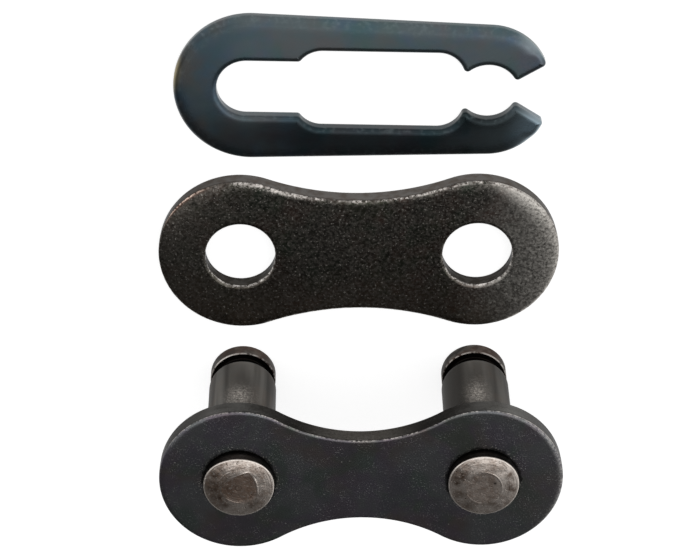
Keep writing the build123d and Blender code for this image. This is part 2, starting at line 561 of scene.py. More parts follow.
def link_plate_outline(pitch, lobe, waist, step):
    """Two round lobes a pitch apart that run into each other through a concave waist."""
    lobe_radius = lobe / 2
    half_waist = waist / 2
    half_pitch = pitch / 2
    waist_radius = (half_pitch**2 + half_waist**2 - lobe_radius**2) / (2 * (lobe_radius - half_waist))
    waist_centre = half_waist + waist_radius
    lean = atan2(waist_centre, half_pitch)
    reach = pi - lean
    return (
        arc((half_pitch, 0), lobe_radius, -reach, reach, step)
        + arc((0, waist_centre), waist_radius, -lean, -reach, step)
        + arc((-half_pitch, 0), lobe_radius, pi - reach, pi + reach, step)
        + arc((0, -waist_centre), waist_radius, reach, lean, step)
    )


# The spring clip, along X from the middle of the pitch: its outline, where its edge turns to the
# broad roll, outside the slot and at the closed end, and where and how it lies
CLIP_END_RADIUS = 4.07 * MM
CLIP_BACK_WALL = 2.25 * MM
CLIP_OPEN_WIDTH = 7.30 * MM
CLIP_NOSE_RADIUS = 3.20 * MM
CLIP_SLOT_RADIUS = 1.575 * MM
CLIP_RELIEF_HALF = 2.21 * MM
CLIP_RELIEF_ROUND = 1.42 * MM
CLIP_SLOT_LENGTH = 4.10 * MM
CLIP_CUSP_LAP = 0.34 * MM
CLIP_CUSP_ROUND = 0.22 * MM
CLIP_SEAT_CLEARANCE = 0.04 * MM
CLIP_NOTCH_CLEARANCE = 0.145 * MM
CLIP_MOUTH_ANGLE = radians(32)
CLIP_MOUTH_APEX = 0.35 * MM
CLIP_OUTSIDE_FADE = 0.6 * MM
CLIP_END_START = 8.3 * MM
CLIP_END_FULL = 9.2 * MM
CLIP_OFF_CENTRE = 0.38 * MM
CLIP_FROM_COVER = 9.53 * MM
CLIP_TURN = radians(-1.35)


def clip_outline(pitch, groove_diameter, step):
    """The fork's outline: closed end, slot, wide slot, notch between two cusps, and open mouth."""
    half_pitch = pitch / 2
    rounding = CLIP_CUSP_ROUND
    notch_radius = groove_diameter / 2 + CLIP_NOTCH_CLEARANCE
    slot_end = -half_pitch - groove_diameter / 2 - CLIP_SEAT_CLEARANCE
    left = slot_end - CLIP_BACK_WALL
    heel = Vector((left + CLIP_END_RADIUS, 0))
    nose = Vector((half_pitch, CLIP_OPEN_WIDTH / 2 - CLIP_NOSE_RADIUS))
    notch = Vector((half_pitch, 0))
    relief_y = CLIP_RELIEF_HALF - CLIP_RELIEF_ROUND
    relief_right = Vector((half_pitch - notch_radius + CLIP_CUSP_LAP - CLIP_RELIEF_ROUND, relief_y))
    relief_left = Vector((slot_end + CLIP_SLOT_LENGTH + CLIP_RELIEF_ROUND, relief_y))
    slot = Vector((slot_end + CLIP_SLOT_RADIUS, 0))

    flank = Vector((cos(CLIP_MOUTH_ANGLE), sin(CLIP_MOUTH_ANGLE)))
    flank_normal = Vector((-flank.y, flank.x))
    flank_start = Vector((half_pitch + CLIP_MOUTH_APEX, 0)) + flank_normal * rounding
    tip = circle_meets_line(
        nose, CLIP_NOSE_RADIUS - rounding, flank_start, flank, nose + Vector((CLIP_NOSE_RADIUS, 0))
    )
    outer_cusp = circle_meets_line(notch, notch_radius + rounding, flank_start, flank, tip)
    inner_cusp = circles_meet(
        notch, notch_radius + rounding, relief_right, CLIP_RELIEF_ROUND + rounding, nose
    )
    slot_corner = circle_meets_line(
        relief_left,
        CLIP_RELIEF_ROUND + rounding,
        Vector((0, CLIP_SLOT_RADIUS + rounding)),
        Vector((1, 0)),
        slot,
    )

    apart = nose - heel
    lean = atan2(apart.y, apart.x) + acos((CLIP_END_RADIUS - CLIP_NOSE_RADIUS) / apart.length)
    side = Vector((cos(lean), sin(lean)))
    up = Vector((0, 1))
    nose_end = towards(nose, CLIP_NOSE_RADIUS, tip)
    notch_start = towards(notch, notch_radius, outer_cusp)
    notch_end = towards(notch, notch_radius, inner_cusp)
    relief_start = towards(relief_right, CLIP_RELIEF_ROUND, inner_cusp)
    relief_end = towards(relief_left, CLIP_RELIEF_ROUND, slot_corner)
    relief_top = up * CLIP_RELIEF_ROUND
    bends = [
        (heel, CLIP_END_RADIUS, Vector((left, 0)), heel + side * CLIP_END_RADIUS, True),
        (nose, CLIP_NOSE_RADIUS, nose + side * CLIP_NOSE_RADIUS, nose_end, True),
        (tip, rounding, nose_end, tip - flank_normal * rounding, True),
        (outer_cusp, rounding, outer_cusp - flank_normal * rounding, notch_start, True),
        (notch, notch_radius, notch_start, notch_end, False),
        (inner_cusp, rounding, notch_end, relief_start, True),
        (relief_right, CLIP_RELIEF_ROUND, relief_start, relief_right + relief_top, False),
        (relief_left, CLIP_RELIEF_ROUND, relief_left + relief_top, relief_end, False),
        (slot_corner, rounding, relief_end, slot_corner - up * rounding, True),
        (slot, CLIP_SLOT_RADIUS, slot + up * CLIP_SLOT_RADIUS, Vector((slot_end, 0)), False),
    ]
    half = []
    for number, (centre, radius, first, last, clockwise) in enumerate(bends):
        half += swing(centre, radius, first, last, clockwise, step)
        if number + 1 < len(bends):
            following = bends[number + 1][2]
            if (following - last).length > step * SHORTEST_LINE:
                half += straight(last, following, step)
    lower = [(x, -y) for x, y in half]
    upper = [(slot_end, 0)] + half[:0:-1]
    return lower + upper


# The radius of the widest circle inside the metal by which two points of an outline still count
# as facing each other, and the share of such a circle's radius that an inset may take
WIDEST_ROUND = 0.1
ROOM_SHARE = 0.92


def room_inside(points):
    """How far the edge can be inset at each point, before it meets the metal's middle line."""
    place = np.array(points)
    ahead = np.roll(place, -1, 0) - np.roll(place, 1, 0)
    ahead /= np.linalg.norm(ahead, axis=1)[:, None]
    inward = np.stack([-ahead[:, 1], ahead[:, 0]], 1)
    to_others = place[None, :, :] - place[:, None, :]
    square = (to_others**2).sum(2)
    facing = (to_others * inward[:, None, :]).sum(2)
    radius = np.full(square.shape, FREE_ROOM)
    across = facing > square / (2 * WIDEST_ROUND)
    radius[across] = square[across] / (2 * facing[across])
    return radius.min(1) * ROOM_SHARE


def clip_outside(x, y):
    """How much a point of the clip's outline belongs to its outer edge, from 0 in the slot to 1."""
    past_slot = eased(abs(y), CLIP_RELIEF_HALF, CLIP_RELIEF_HALF + CLIP_OUTSIDE_FADE)
    past_end = eased(-x, CLIP_END_START, CLIP_END_FULL)
    return max(past_slot, past_end)


# ---- Edge sections ------------------------------------------------------------------------


# The power that makes a rolled corner a plain quarter round
PLAIN_ROUND = 2.0


def rolled(width, depth, power, count):
    """A quarter of a superellipse, as (inset, drop) from the face to the wall."""
    points = []
    for i in range(count + 1):
        angle = pi / 2 * i / count
        across = sin(angle) ** (2 / power)
        down = 1 - cos(angle) ** (2 / power)
        points.append((width * (1 - across), depth * down))
    return points


def eased(value, start, end):
    """Runs smoothly from 0 at the start to 1 at the end."""
    share = max(0.0, min(1.0, (value - start) / (end - start)))
    return share * share * (3 - 2 * share)


# How far a section runs in over each face, how far the worn rim reaches down the wall, and where
# the dark seam below it ends
FACE_MARGIN = 0.12 * MM
RIM_TO_WALL = 0.03 * MM
SEAM = 0.13 * MM
# The wall's rows, first below its top and then as shares of its height, and the shares between
# which the wall breaks out
SEAM_ROWS = (0.02 * MM, 0.05 * MM, 0.09 * MM, SEAM)
WALL_ROWS = (0.375, 0.5, 0.625, 0.75, 0.875)
BREAKOUT_START = 0.45
BREAKOUT_FULL = 0.80
ROLL_POINTS = 20
BEVEL_POINTS = 6
SECTION_LAYERS = ("inset", "height", "spread", "fall", "rim", "crown", "seam", "wall")


def edge_section(name, thickness, roll, power, bevel, broad_roll=None, breakout=0.0, bore=0.0):
    """The cross-section of a stamped edge, from the upper face round to the lower one.

    The die rolls the upper corner over, by one (width, depth) along most of the path and by
    another where it is broad. The wall below is burnished, with a dark seam at its top, and
    breaks out a little near the lower face, whose corner is tumbled round. The bore layer is
    1 along the wall and the rim of a hole.
    """
    width, depth = roll
    broad_width, broad_depth = broad_roll or roll
    more_width = broad_width - width
    more_depth = broad_depth - depth
    wall_top = thickness - depth
    rows = [{"inset": width + FACE_MARGIN, "height": thickness, "spread": more_width}]
    for inset, drop in rolled(1.0, 1.0, power, ROLL_POINTS):
        rows.append(
            {
                "inset": width * inset,
                "height": thickness - depth * drop,
                "spread": more_width * inset,
                "fall": more_depth * drop,
                "rim": drop,
                "crown": 1 - inset,
            }
        )
    span = wall_top - bevel
    for below in (*SEAM_ROWS, *(span * share for share in WALL_ROWS)):
        share = below / span
        past_rim = eased(below, 0.0, RIM_TO_WALL)
        rows.append(
            {
                "inset": breakout * eased(share, BREAKOUT_START, BREAKOUT_FULL),
                "height": wall_top - below,
                "fall": more_depth * (1 - share),
                "rim": 1 - past_rim,
                "seam": past_rim - eased(below, RIM_TO_WALL, SEAM),
                "wall": 1.0,
            }
        )
    for inset, drop in rolled(bevel, bevel, PLAIN_ROUND, BEVEL_POINTS)[::-1]:
        rows.append({"inset": breakout + inset, "height": drop, "wall": 1.0 - inset / bevel})
    rows.append({"inset": breakout + bevel + FACE_MARGIN})
    layers = {layer: [row.get(layer, 0.0) for row in rows] for layer in SECTION_LAYERS}
    layers["bore"] = [bore * max(wall, rim) for wall, rim in zip(layers["wall"], layers["rim"])]
    points = list(zip(layers["inset"], layers["height"]))
    holder = bpy.data.objects.new(name, wire(name, points, False, layers))
    bpy.context.scene.collection.objects.link(holder)
    return holder


# ---- Materials ----------------------------------------------------------------------------


def bare_steel(name, roughness, edge_tint=1.0):
    """A new bare metal: its material, tree, shader and Object coordinates.

    The edge tint is how much of the light it still reflects at a grazing angle. Oxide and
    grinding marks lower it.
    """
    material = bpy.data.materials.new(name)
    material.use_nodes = True
    tree = material.node_tree
    shader = tree.nodes["Principled BSDF"]
    shader.inputs["Metallic"].default_value = 1.0
    shader.inputs["Roughness"].default_value = roughness
    shader.inputs["Specular Tint"].default_value = (edge_tint, edge_tint, edge_tint, 1.0)
    return material, tree, shader, add_node(tree, "ShaderNodeTexCoord").outputs["Object"]


def grain_mask(
    tree, place, grain, low, high, kind="ShaderNodeTexNoise", output="Fac", settings=None, **inputs
):
    """A texture whose grain is a real size, cut to a mask from 0 at low to 1 at high.

    Where low is the higher of the two, the mask shows the gaps between the grains instead.
    """
    texture = add_node(tree, kind, settings, {"Vector": place, "Scale": 1 / grain, **inputs})
    cut = add_node(tree, "ShaderNodeMapRange", None, {0: texture.outputs[output], 1: low, 2: high})
    return cut.outputs[0]


# The share of its reach that a spot covers in full
SPOT_CORE = 0.25


def spot_mask(tree, place, centre, reach):
    """A soft oval spot, from its centre out to its reach along each axis, in millimetres."""
    scale = [1 / (way * MM) for way in reach]
    moved = [-centre[axis] / reach[axis] for axis in range(3)]
    oval = add_node(
        tree, "ShaderNodeMapping", None, {"Vector": place, "Location": moved, "Scale": scale}
    )
    away = add_node(tree, "ShaderNodeVectorMath", {"operation": "LENGTH"}, {0: oval.outputs[0]})
    spot = add_node(
        tree,
        "ShaderNodeMapRange",
        {"interpolation_type": "SMOOTHSTEP"},
        {0: away.outputs["Value"], 1: 1.0, 2: SPOT_CORE},
    )
    return spot.outputs[0]


def ramp_along(tree, place, axis, start, end):
    """0 at one place along an axis and 1 at another, in millimetres."""
    way = add_node(tree, "ShaderNodeSeparateXYZ", None, {0: place}).outputs[axis]
    return add_node(tree, "ShaderNodeMapRange", None, {0: way, 1: start * MM, 2: end * MM}).outputs[0]


# How far the worn line moves down the roll where the edge is broad
BROAD_RIM = -0.5


def worn_rim(tree, start, full):
    """The rim as a thin line of even width, from a start to a full share of the roll's drop.

    Where the edge is rolled broadly, the line begins further down, so that it stays as thin.
    """
    rim, broad = (
        add_node(tree, "ShaderNodeAttribute", {"attribute_name": name}).outputs["Fac"]
        for name in ("rim", "broad")
    )
    steep = add_node(
        tree, "ShaderNodeMath", {"operation": "MULTIPLY_ADD"}, {0: broad, 1: BROAD_RIM, 2: rim}
    )
    line = add_node(tree, "ShaderNodeMapRange", None, {0: steep.outputs[0], 1: start, 2: full})
    return line.outputs[0]


def from_pins(tree, place, pitch):
    """How far the nearer pin's axis is, in metres."""
    row = add_node(
        tree,
        "ShaderNodeMapping",
        None,
        {"Vector": place, "Location": (0, -middle("pin_plate")[1], 0), "Scale": (1, 1, 0)},
    )
    folded = add_node(tree, "ShaderNodeVectorMath", {"operation": "ABSOLUTE"}, {0: row.outputs[0]})
    apart = add_node(
        tree,
        "ShaderNodeVectorMath",
        {"operation": "SUBTRACT"},
        {0: folded.outputs[0], 1: (pitch / 2, 0, 0)},
    )
    away = add_node(tree, "ShaderNodeVectorMath", {"operation": "LENGTH"}, {0: apart.outputs[0]})
    return away.outputs["Value"]


def masked(tree, amount, masks):
    """An amount where all of some masks show."""
    for mask in masks:
        amount = add_node(
            tree, "ShaderNodeMath", {"operation": "MULTIPLY"}, {0: mask, 1: amount}
        ).outputs[0]
    return amount


def lay_coats(tree, shader, base, coats):
    """Lays thin coats of colour over the base, each as strong as its share where its masks show."""
    seen = (*base, 1.0)
    for tint, share, *masks in coats:
        seen = add_node(
            tree,
            "ShaderNodeMix",
            {"data_type": "RGBA"},
            {0: masked(tree, share, masks), 6: seen, 7: (*tint, 1.0)},
        ).outputs[2]
    tree.links.new(seen, shader.inputs["Base Color"])


def emboss(tree, shader, reliefs):
    """Raises the surface by some reliefs, each a depth in millimetres times its masks."""
    raised = 0.0
    for depth, *masks in reliefs:
        relief = masked(tree, depth, masks)
        raised = add_node(tree, "ShaderNodeMath", {"operation": "ADD"}, {0: relief, 1: raised}).outputs[0]
    bump = add_node(tree, "ShaderNodeBump", None, {"Strength": 1.0, "Distance": MM, "Height": raised})
    tree.links.new(bump.outputs[0], shader.inputs["Normal"])


def roughen(tree, shader, mask, smooth, rough):
    """Makes the surface rougher where a mask shows."""
    spread = add_node(tree, "ShaderNodeMapRange", None, {0: mask, 3: smooth, 4: rough})
    tree.links.new(spread.outputs[0], shader.inputs["Roughness"])


def peened_oxide_steel(colours):
    """Carbon steel plate, shot-peened and then heat-treated brown-black.

    Shot leaves overlapping dimples. Each catches the light by itself, so the dark face
    sparkles, and its high grains are rubbed greyer, over soft brown and green clouds. Its bright
    flecks are partly rubbed grains and partly painted glints. One lobe is painted paler all over
    as a painted sheen, with dark freckles in it and a painted gleam on its crown. Tumbling has
    worn the rolled rim to bare steel in a thin broken line, which spills onto the face at one
    place and is tinted by heat at the other end. The sheared wall is smoother and greyer than
    the face, with brown mottling, and the holes' walls keep more oxide.
    """
    material, tree, shader, place = bare_steel("peened_oxide_steel", 0.34, 0.5)
    crown, seam, wall, bore = (
        add_node(tree, "ShaderNodeAttribute", {"attribute_name": name}).outputs["Fac"]
        for name in ("crown", "seam", "wall", "bore")
    )
    rim = worn_rim(tree, 0.16, 0.46)
    lip = worn_rim(tree, 0.34, 0.46)
    shoulder = worn_rim(tree, 0.02, 0.16)
    face = add_node(tree, "ShaderNodeMath", {"operation": "SUBTRACT"}, {0: 1.0, 1: wall}).outputs[0]
    # Real dimples are about 0.1 mm across, and the grains, flecks and freckles between them are
    # smaller. They are drawn at 0.12 to 0.24 mm, because they would be too fine to show.
    dimples = grain_mask(tree, place, 0.16 * MM, 0.30, 0.70, Detail=2.0, Roughness=0.5)
    grains = grain_mask(tree, place, 0.15 * MM, 0.40, 0.66, Detail=2.0, Roughness=0.6)
    # Bright flecks: partly rubbed grains, partly painted glints
    flecks = grain_mask(tree, place, 0.12 * MM, 0.62, 0.74, Detail=1.0)
    pits = grain_mask(tree, place, 0.24 * MM, 0.52, 0.66, Detail=2.0, Roughness=0.6)
    freckles = grain_mask(tree, place, 0.13 * MM, 0.50, 0.36, Detail=2.0, Roughness=0.6)
    clouds = grain_mask(tree, place, 0.9 * MM, 0.40, 0.62, Detail=3.0, Roughness=0.6)
    brown = grain_mask(tree, place, 2.2 * MM, 0.44, 0.62, Detail=3.0)
    green = grain_mask(tree, place, 1.6 * MM, 0.46, 0.62, Detail=3.0)
    chips = grain_mask(tree, place, 0.17 * MM, 0.42, 0.56, Detail=2.0, Roughness=0.7)
    patches = grain_mask(tree, place, 0.8 * MM, 0.36, 0.56, Detail=2.0)
    breaks = grain_mask(tree, place, 0.4 * MM, 0.56, 0.46, Detail=3.0, Roughness=0.6)
    mottle = grain_mask(tree, place, 0.45 * MM, 0.42, 0.64, Detail=4.0)
    heat = spot_mask(tree, place, (-9.3, 2.2, 1.0), (2.0, 2.0, 4.0))
    # Painted sheen: the right lobe's face and crown are painted paler here
    side = spot_mask(tree, place, (11.8, -2.2, 1.0), (7.2, 8.6, 9.0))
    # Painted highlight: a gleam painted on the crown at the right lobe's upper edge
    painted_gleam = spot_mask(tree, place, (9.6, 2.9, 1.0), (3.0, 2.4, 9.0))
    spill = spot_mask(tree, place, (-4.4, 3.0, 1.0), (2.6, 2.2, 9.0))
    clean = ramp_along(tree, place, 0, -8.0, -6.0)
    dull = ramp_along(tree, place, 0, -5.0, -9.5)
    low = ramp_along(tree, place, 1, -1.5, -4.0)
    lay_coats(
        tree,
        shader,
        colours.cover_oxide,
        (
            (linear("#43302a"), 0.65, brown, face),
            (linear("#29362b"), 0.6, green, face),
            (linear("#1a1917"), 0.55, clouds, face),
            (linear("#4b4741"), 0.5, dull, face),
            (linear("#564b40"), 0.45, low, face),
            (linear("#68645f"), 0.6, grains, face),
            (linear("#10100e"), 0.65, pits, face),
            # Bright flecks, partly rubbed grains and partly painted glints
            (linear("#a8a39c"), 0.55, flecks, face),
            # Painted sheen on the right lobe, with painted glints and dark freckles in it
            (linear("#8d8a85"), 0.6, side, face),
            (linear("#97938e"), 0.6, crown, crown, side),
            # Painted highlight on the crown at the right lobe's upper edge
            (linear("#b5b1ab"), 0.7, crown, painted_gleam),
            # More of the right lobe's painted sheen: painted glints and dark freckles
            (linear("#c4c0b9"), 0.55, grains, side, face),
            (linear("#2c2a27"), 0.7, freckles, side, face),
            (linear("#3a3733"), 0.35, freckles, painted_gleam),
            (linear("#666360"), 0.95, wall),
            (linear("#4b423a"), 0.6, wall, mottle),
            (linear("#332f2b"), 0.55, wall, dull),
            (linear("#383633"), 0.9, bore, wall),
            (linear("#1c1311"), 0.7, seam),
            (colours.worn_steel, 0.65, shoulder, grains, spill),
            (colours.worn_steel, 0.95, rim, chips, patches, clean),
            (linear("#4f4541"), 0.75, rim, freckles, clean),
            (linear("#efeae4"), 0.8, lip, bore, chips),
            (linear("#2b2824"), 0.75, bore, breaks),
            (linear("#5a3527"), 0.6, rim, heat),
            (linear("#e0c9ba"), 0.9, lip, heat, chips),
        ),
    )
    roughen(tree, shader, pits, 0.32, 0.42)
    emboss(tree, shader, ((0.0035, dimples, face), (0.002, grains, face)))
    return material


def tumbled_oxide_steel(colours, pitch):
    """Carbon steel plate, heat-treated blue-black and tumbled smooth.

    The face is even and nearly black, with soft brown, green and violet clouds, a fine
    sprinkle of rubbed grains, a few bright specks and a hair-thin worn rim with dark gaps. One
    end is paler, partly rubbed and partly a painted sheen. The wall is painted brighter at the
    waist and beside the lobes, as painted light. A black ring round the rivet heads is grime
    with painted contact shade.
    """
    material, tree, shader, place = bare_steel("tumbled_oxide_steel", 0.36, 0.45)
    seam, wall, crown = (
        add_node(tree, "ShaderNodeAttribute", {"attribute_name": name}).outputs["Fac"]
        for name in ("seam", "wall", "crown")
    )
    rim = worn_rim(tree, 0.20, 0.50)
    # The right end: worn grit and rim, with a painted sheen
    right_end_wear_and_sheen = ramp_along(tree, place, 0, 7.0, 10.5)
    # Painted light: spots where the wall is painted brighter, at the waist and beside each lobe
    waist = spot_mask(tree, place, (0.0, -6.3, 10.3), (3.6, 3.0, 9.0))
    left_lobe_painted_light = spot_mask(tree, place, (-6.0, -4.7, 10.3), (2.6, 1.7, 9.0))
    right_lobe_painted_light = spot_mask(tree, place, (6.7, -4.7, 10.3), (3.0, 1.8, 9.0))
    # The tumbled skin's real grit is about 0.01 mm. It is drawn at 0.06 mm, and its rubbed
    # grains at 0.075 mm, because they would be too fine to show.
    grit = grain_mask(tree, place, 0.06 * MM, 0.25, 0.75, Detail=2.0)
    waves = grain_mask(tree, place, 0.9 * MM, 0.2, 0.8, Detail=1.0)
    brown = grain_mask(tree, place, 2.6 * MM, 0.44, 0.62, Detail=3.0)
    green = grain_mask(tree, place, 2.4 * MM, 0.46, 0.60, Detail=2.0, Distortion=0.4)
    violet = grain_mask(tree, place, 1.7 * MM, 0.46, 0.60, Detail=3.0, Distortion=0.7)
    mottle = grain_mask(tree, place, 0.16 * MM, 0.50, 0.70, Detail=3.0, Roughness=0.6)
    rubbed = grain_mask(tree, place, 0.075 * MM, 0.60, 0.70, Detail=1.0)
    where_rubbed = grain_mask(tree, place, 0.7 * MM, 0.36, 0.58, Detail=3.0)
    cells = {"voronoi_dimensions": "2D"}
    specks = grain_mask(tree, place, 0.95 * MM, 0.048, 0.02, "ShaderNodeTexVoronoi", "Distance", cells)
    picked = grain_mask(tree, place, 0.95 * MM, 0.68, 0.95, "ShaderNodeTexVoronoi", "Color", cells)
    chips = grain_mask(tree, place, 0.14 * MM, 0.42, 0.60, Detail=3.0, Roughness=0.7)
    gaps = grain_mask(tree, place, 0.14 * MM, 0.50, 0.38, Detail=3.0, Roughness=0.7)
    patches = grain_mask(tree, place, 0.7 * MM, 0.34, 0.58, Detail=3.0)
    ragged = grain_mask(tree, place, 0.28 * MM, 0.30, 0.75, Detail=4.0, Roughness=0.65)
    away = from_pins(tree, place, pitch)
    halo = add_node(
        tree, "ShaderNodeMapRange", None, {0: away, 1: 2.20 * MM, 2: 2.05 * MM}
    ).outputs[0]
    spread = add_node(
        tree, "ShaderNodeMath", {"operation": "MULTIPLY_ADD"}, {0: ragged, 1: -0.24 * MM, 2: away}
    )
    # A black ring round each head: grime, and painted contact shade where the head meets the plate
    grime_and_shade = add_node(
        tree, "ShaderNodeMapRange", None, {0: spread.outputs[0], 1: 1.91 * MM, 2: 1.83 * MM}
    ).outputs[0]
    lay_coats(
        tree,
        shader,
        colours.pin_plate_oxide,
        (
            (linear("#5b4a44"), 0.45, brown),
            (linear("#46544c"), 0.5, green),
            (linear("#59505f"), 0.45, violet),
            (linear("#8f8f8d"), 0.42, rubbed, where_rubbed),
            (linear("#a8a39c"), 0.8, rubbed, halo),
            (linear("#454442"), 0.9, wall),
            # Painted light on the wall at the waist and beside the lobes
            (linear("#908c87"), 0.8, wall, waist),
            (linear("#747370"), 0.7, wall, left_lobe_painted_light),
            (linear("#747370"), 0.7, wall, right_lobe_painted_light),
            # Painted sheen with worn grit at the right end, on the wall, face and crown
            (linear("#7d7a76"), 0.5, wall, right_end_wear_and_sheen),
            (linear("#56534f"), 0.4, wall, mottle),
            (linear("#6d6e6f"), 0.42, right_end_wear_and_sheen),
            (linear("#9fa09f"), 0.4, right_end_wear_and_sheen, rubbed),
            (linear("#a19f9b"), 0.9, right_end_wear_and_sheen, crown, chips),
            (linear("#c4c2be"), 0.7, specks, picked),
            (linear("#262524"), 0.5, seam),
            (linear("#2c2c2e"), 0.35, crown, gaps),
            (linear("#2c2c2e"), 0.7, rim, gaps),
            (colours.worn_steel, 0.75, rim, chips, patches),
            # Worn rim at the right end, with painted sheen
            (colours.worn_steel, 0.6, rim, right_end_wear_and_sheen),
            # Grime and painted contact shade round the heads
            (linear("#0f0d0b"), 0.85, grime_and_shade),
        ),
    )
    roughen(tree, shader, grime_and_shade, 0.36, 0.6)
    emboss(tree, shader, ((0.004, waves), (0.0035, grit), (0.004, rubbed, where_rubbed)))
    return material


def tempered_spring_steel(colours):
    """Spring steel strip, hardened, tempered blue-grey and tumbled.

    Satin and even, with soft clouds of temper colour, blue and teal through grey to a warm
    brown, a darker closed end with a straw tint at its edge and a painted highlight on its rolled
    edge there, and edges rolled round. One arm is darkened with painted shade, blackest in its
    notch, and both noses are painted brighter as a painted sheen.
    """
    material, tree, shader, place = bare_steel("tempered_spring_steel", 0.21)
    crown = add_node(tree, "ShaderNodeAttribute", {"attribute_name": "crown"}).outputs["Fac"]
    blue = grain_mask(tree, place, 2.6 * MM, 0.44, 0.60, Detail=2.0)
    warm = grain_mask(tree, place, 1.6 * MM, 0.46, 0.64, Detail=3.0)
    teal = grain_mask(tree, place, 2.6 * MM, 0.46, 0.64, Detail=2.0, Distortion=0.5)
    waves = grain_mask(tree, place, 1.2 * MM, 0.2, 0.8, Detail=1.0)
    # The skin's real grit is about 0.01 mm. It is drawn at 0.08 mm, because it would be too
    # fine to show.
    grit = grain_mask(tree, place, 0.08 * MM, 0.25, 0.75, Detail=2.0)
    rub = grain_mask(tree, place, 0.25 * MM, 0.50, 0.70, Detail=3.0)
    # A straw temper tint at the closed end's edge, with a painted highlight on its rolled edge
    straw_and_highlight = spot_mask(tree, place, (-10.1, 10.3, 0.6), (1.0, 2.4, 4.0))
    # Painted shade along one arm
    painted_shade_arm = spot_mask(tree, place, (0.5, 6.2, 0.6), (11.0, 2.0, 6.0))
    heel = ramp_along(tree, place, 0, -5.5, -9.0)
    # Painted sheen on both noses
    nose = spot_mask(tree, place, (9.7, 6.2, 0.6), (2.3, 2.2, 4.0))
    far_nose_sheen = spot_mask(tree, place, (10.0, 11.6, 0.6), (2.2, 1.4, 4.0))
    # Painted shade in the notch
    notch = spot_mask(tree, place, (6.2, 7.4, 0.4), (3.4, 1.4, 2.5))
    lay_coats(
        tree,
        shader,
        colours.clip_temper,
        (
            (linear("#3f5166"), 0.55, blue),
            (linear("#565152"), 0.5, warm),
            (linear("#3a5650"), 0.5, teal),
            (linear("#3a4347"), 0.75, heel),
            (linear("#2f4457"), 0.4, heel, blue),
            (linear("#49433d"), 0.45, heel, warm),
            # Painted shade along one arm, with shaded copies of the teal and warm clouds, blackest in the
            # notch
            (linear("#23282b"), 0.85, painted_shade_arm),
            (linear("#1b2c31"), 0.5, painted_shade_arm, teal),
            (linear("#2e282c"), 0.45, painted_shade_arm, warm),
            (linear("#101516"), 0.75, notch),
            # Painted sheen on both noses and their rolled edges
            (linear("#63747f"), 0.85, nose),
            (linear("#9aa6ac"), 0.6, crown, nose),
            (linear("#aab6bc"), 0.6, crown, far_nose_sheen),
            (linear("#8d9a9e"), 0.15, crown, rub),
            # Straw temper tint, and a straw-tinted painted highlight on the rolled edge
            (linear("#7d735c"), 0.6, straw_and_highlight),
            (linear("#b5a67c"), 0.8, crown, straw_and_highlight),
        ),
    )
    roughen(tree, shader, crown, 0.21, 0.40)
    emboss(tree, shader, ((0.003, waves), (0.0009, grit)))
    return material


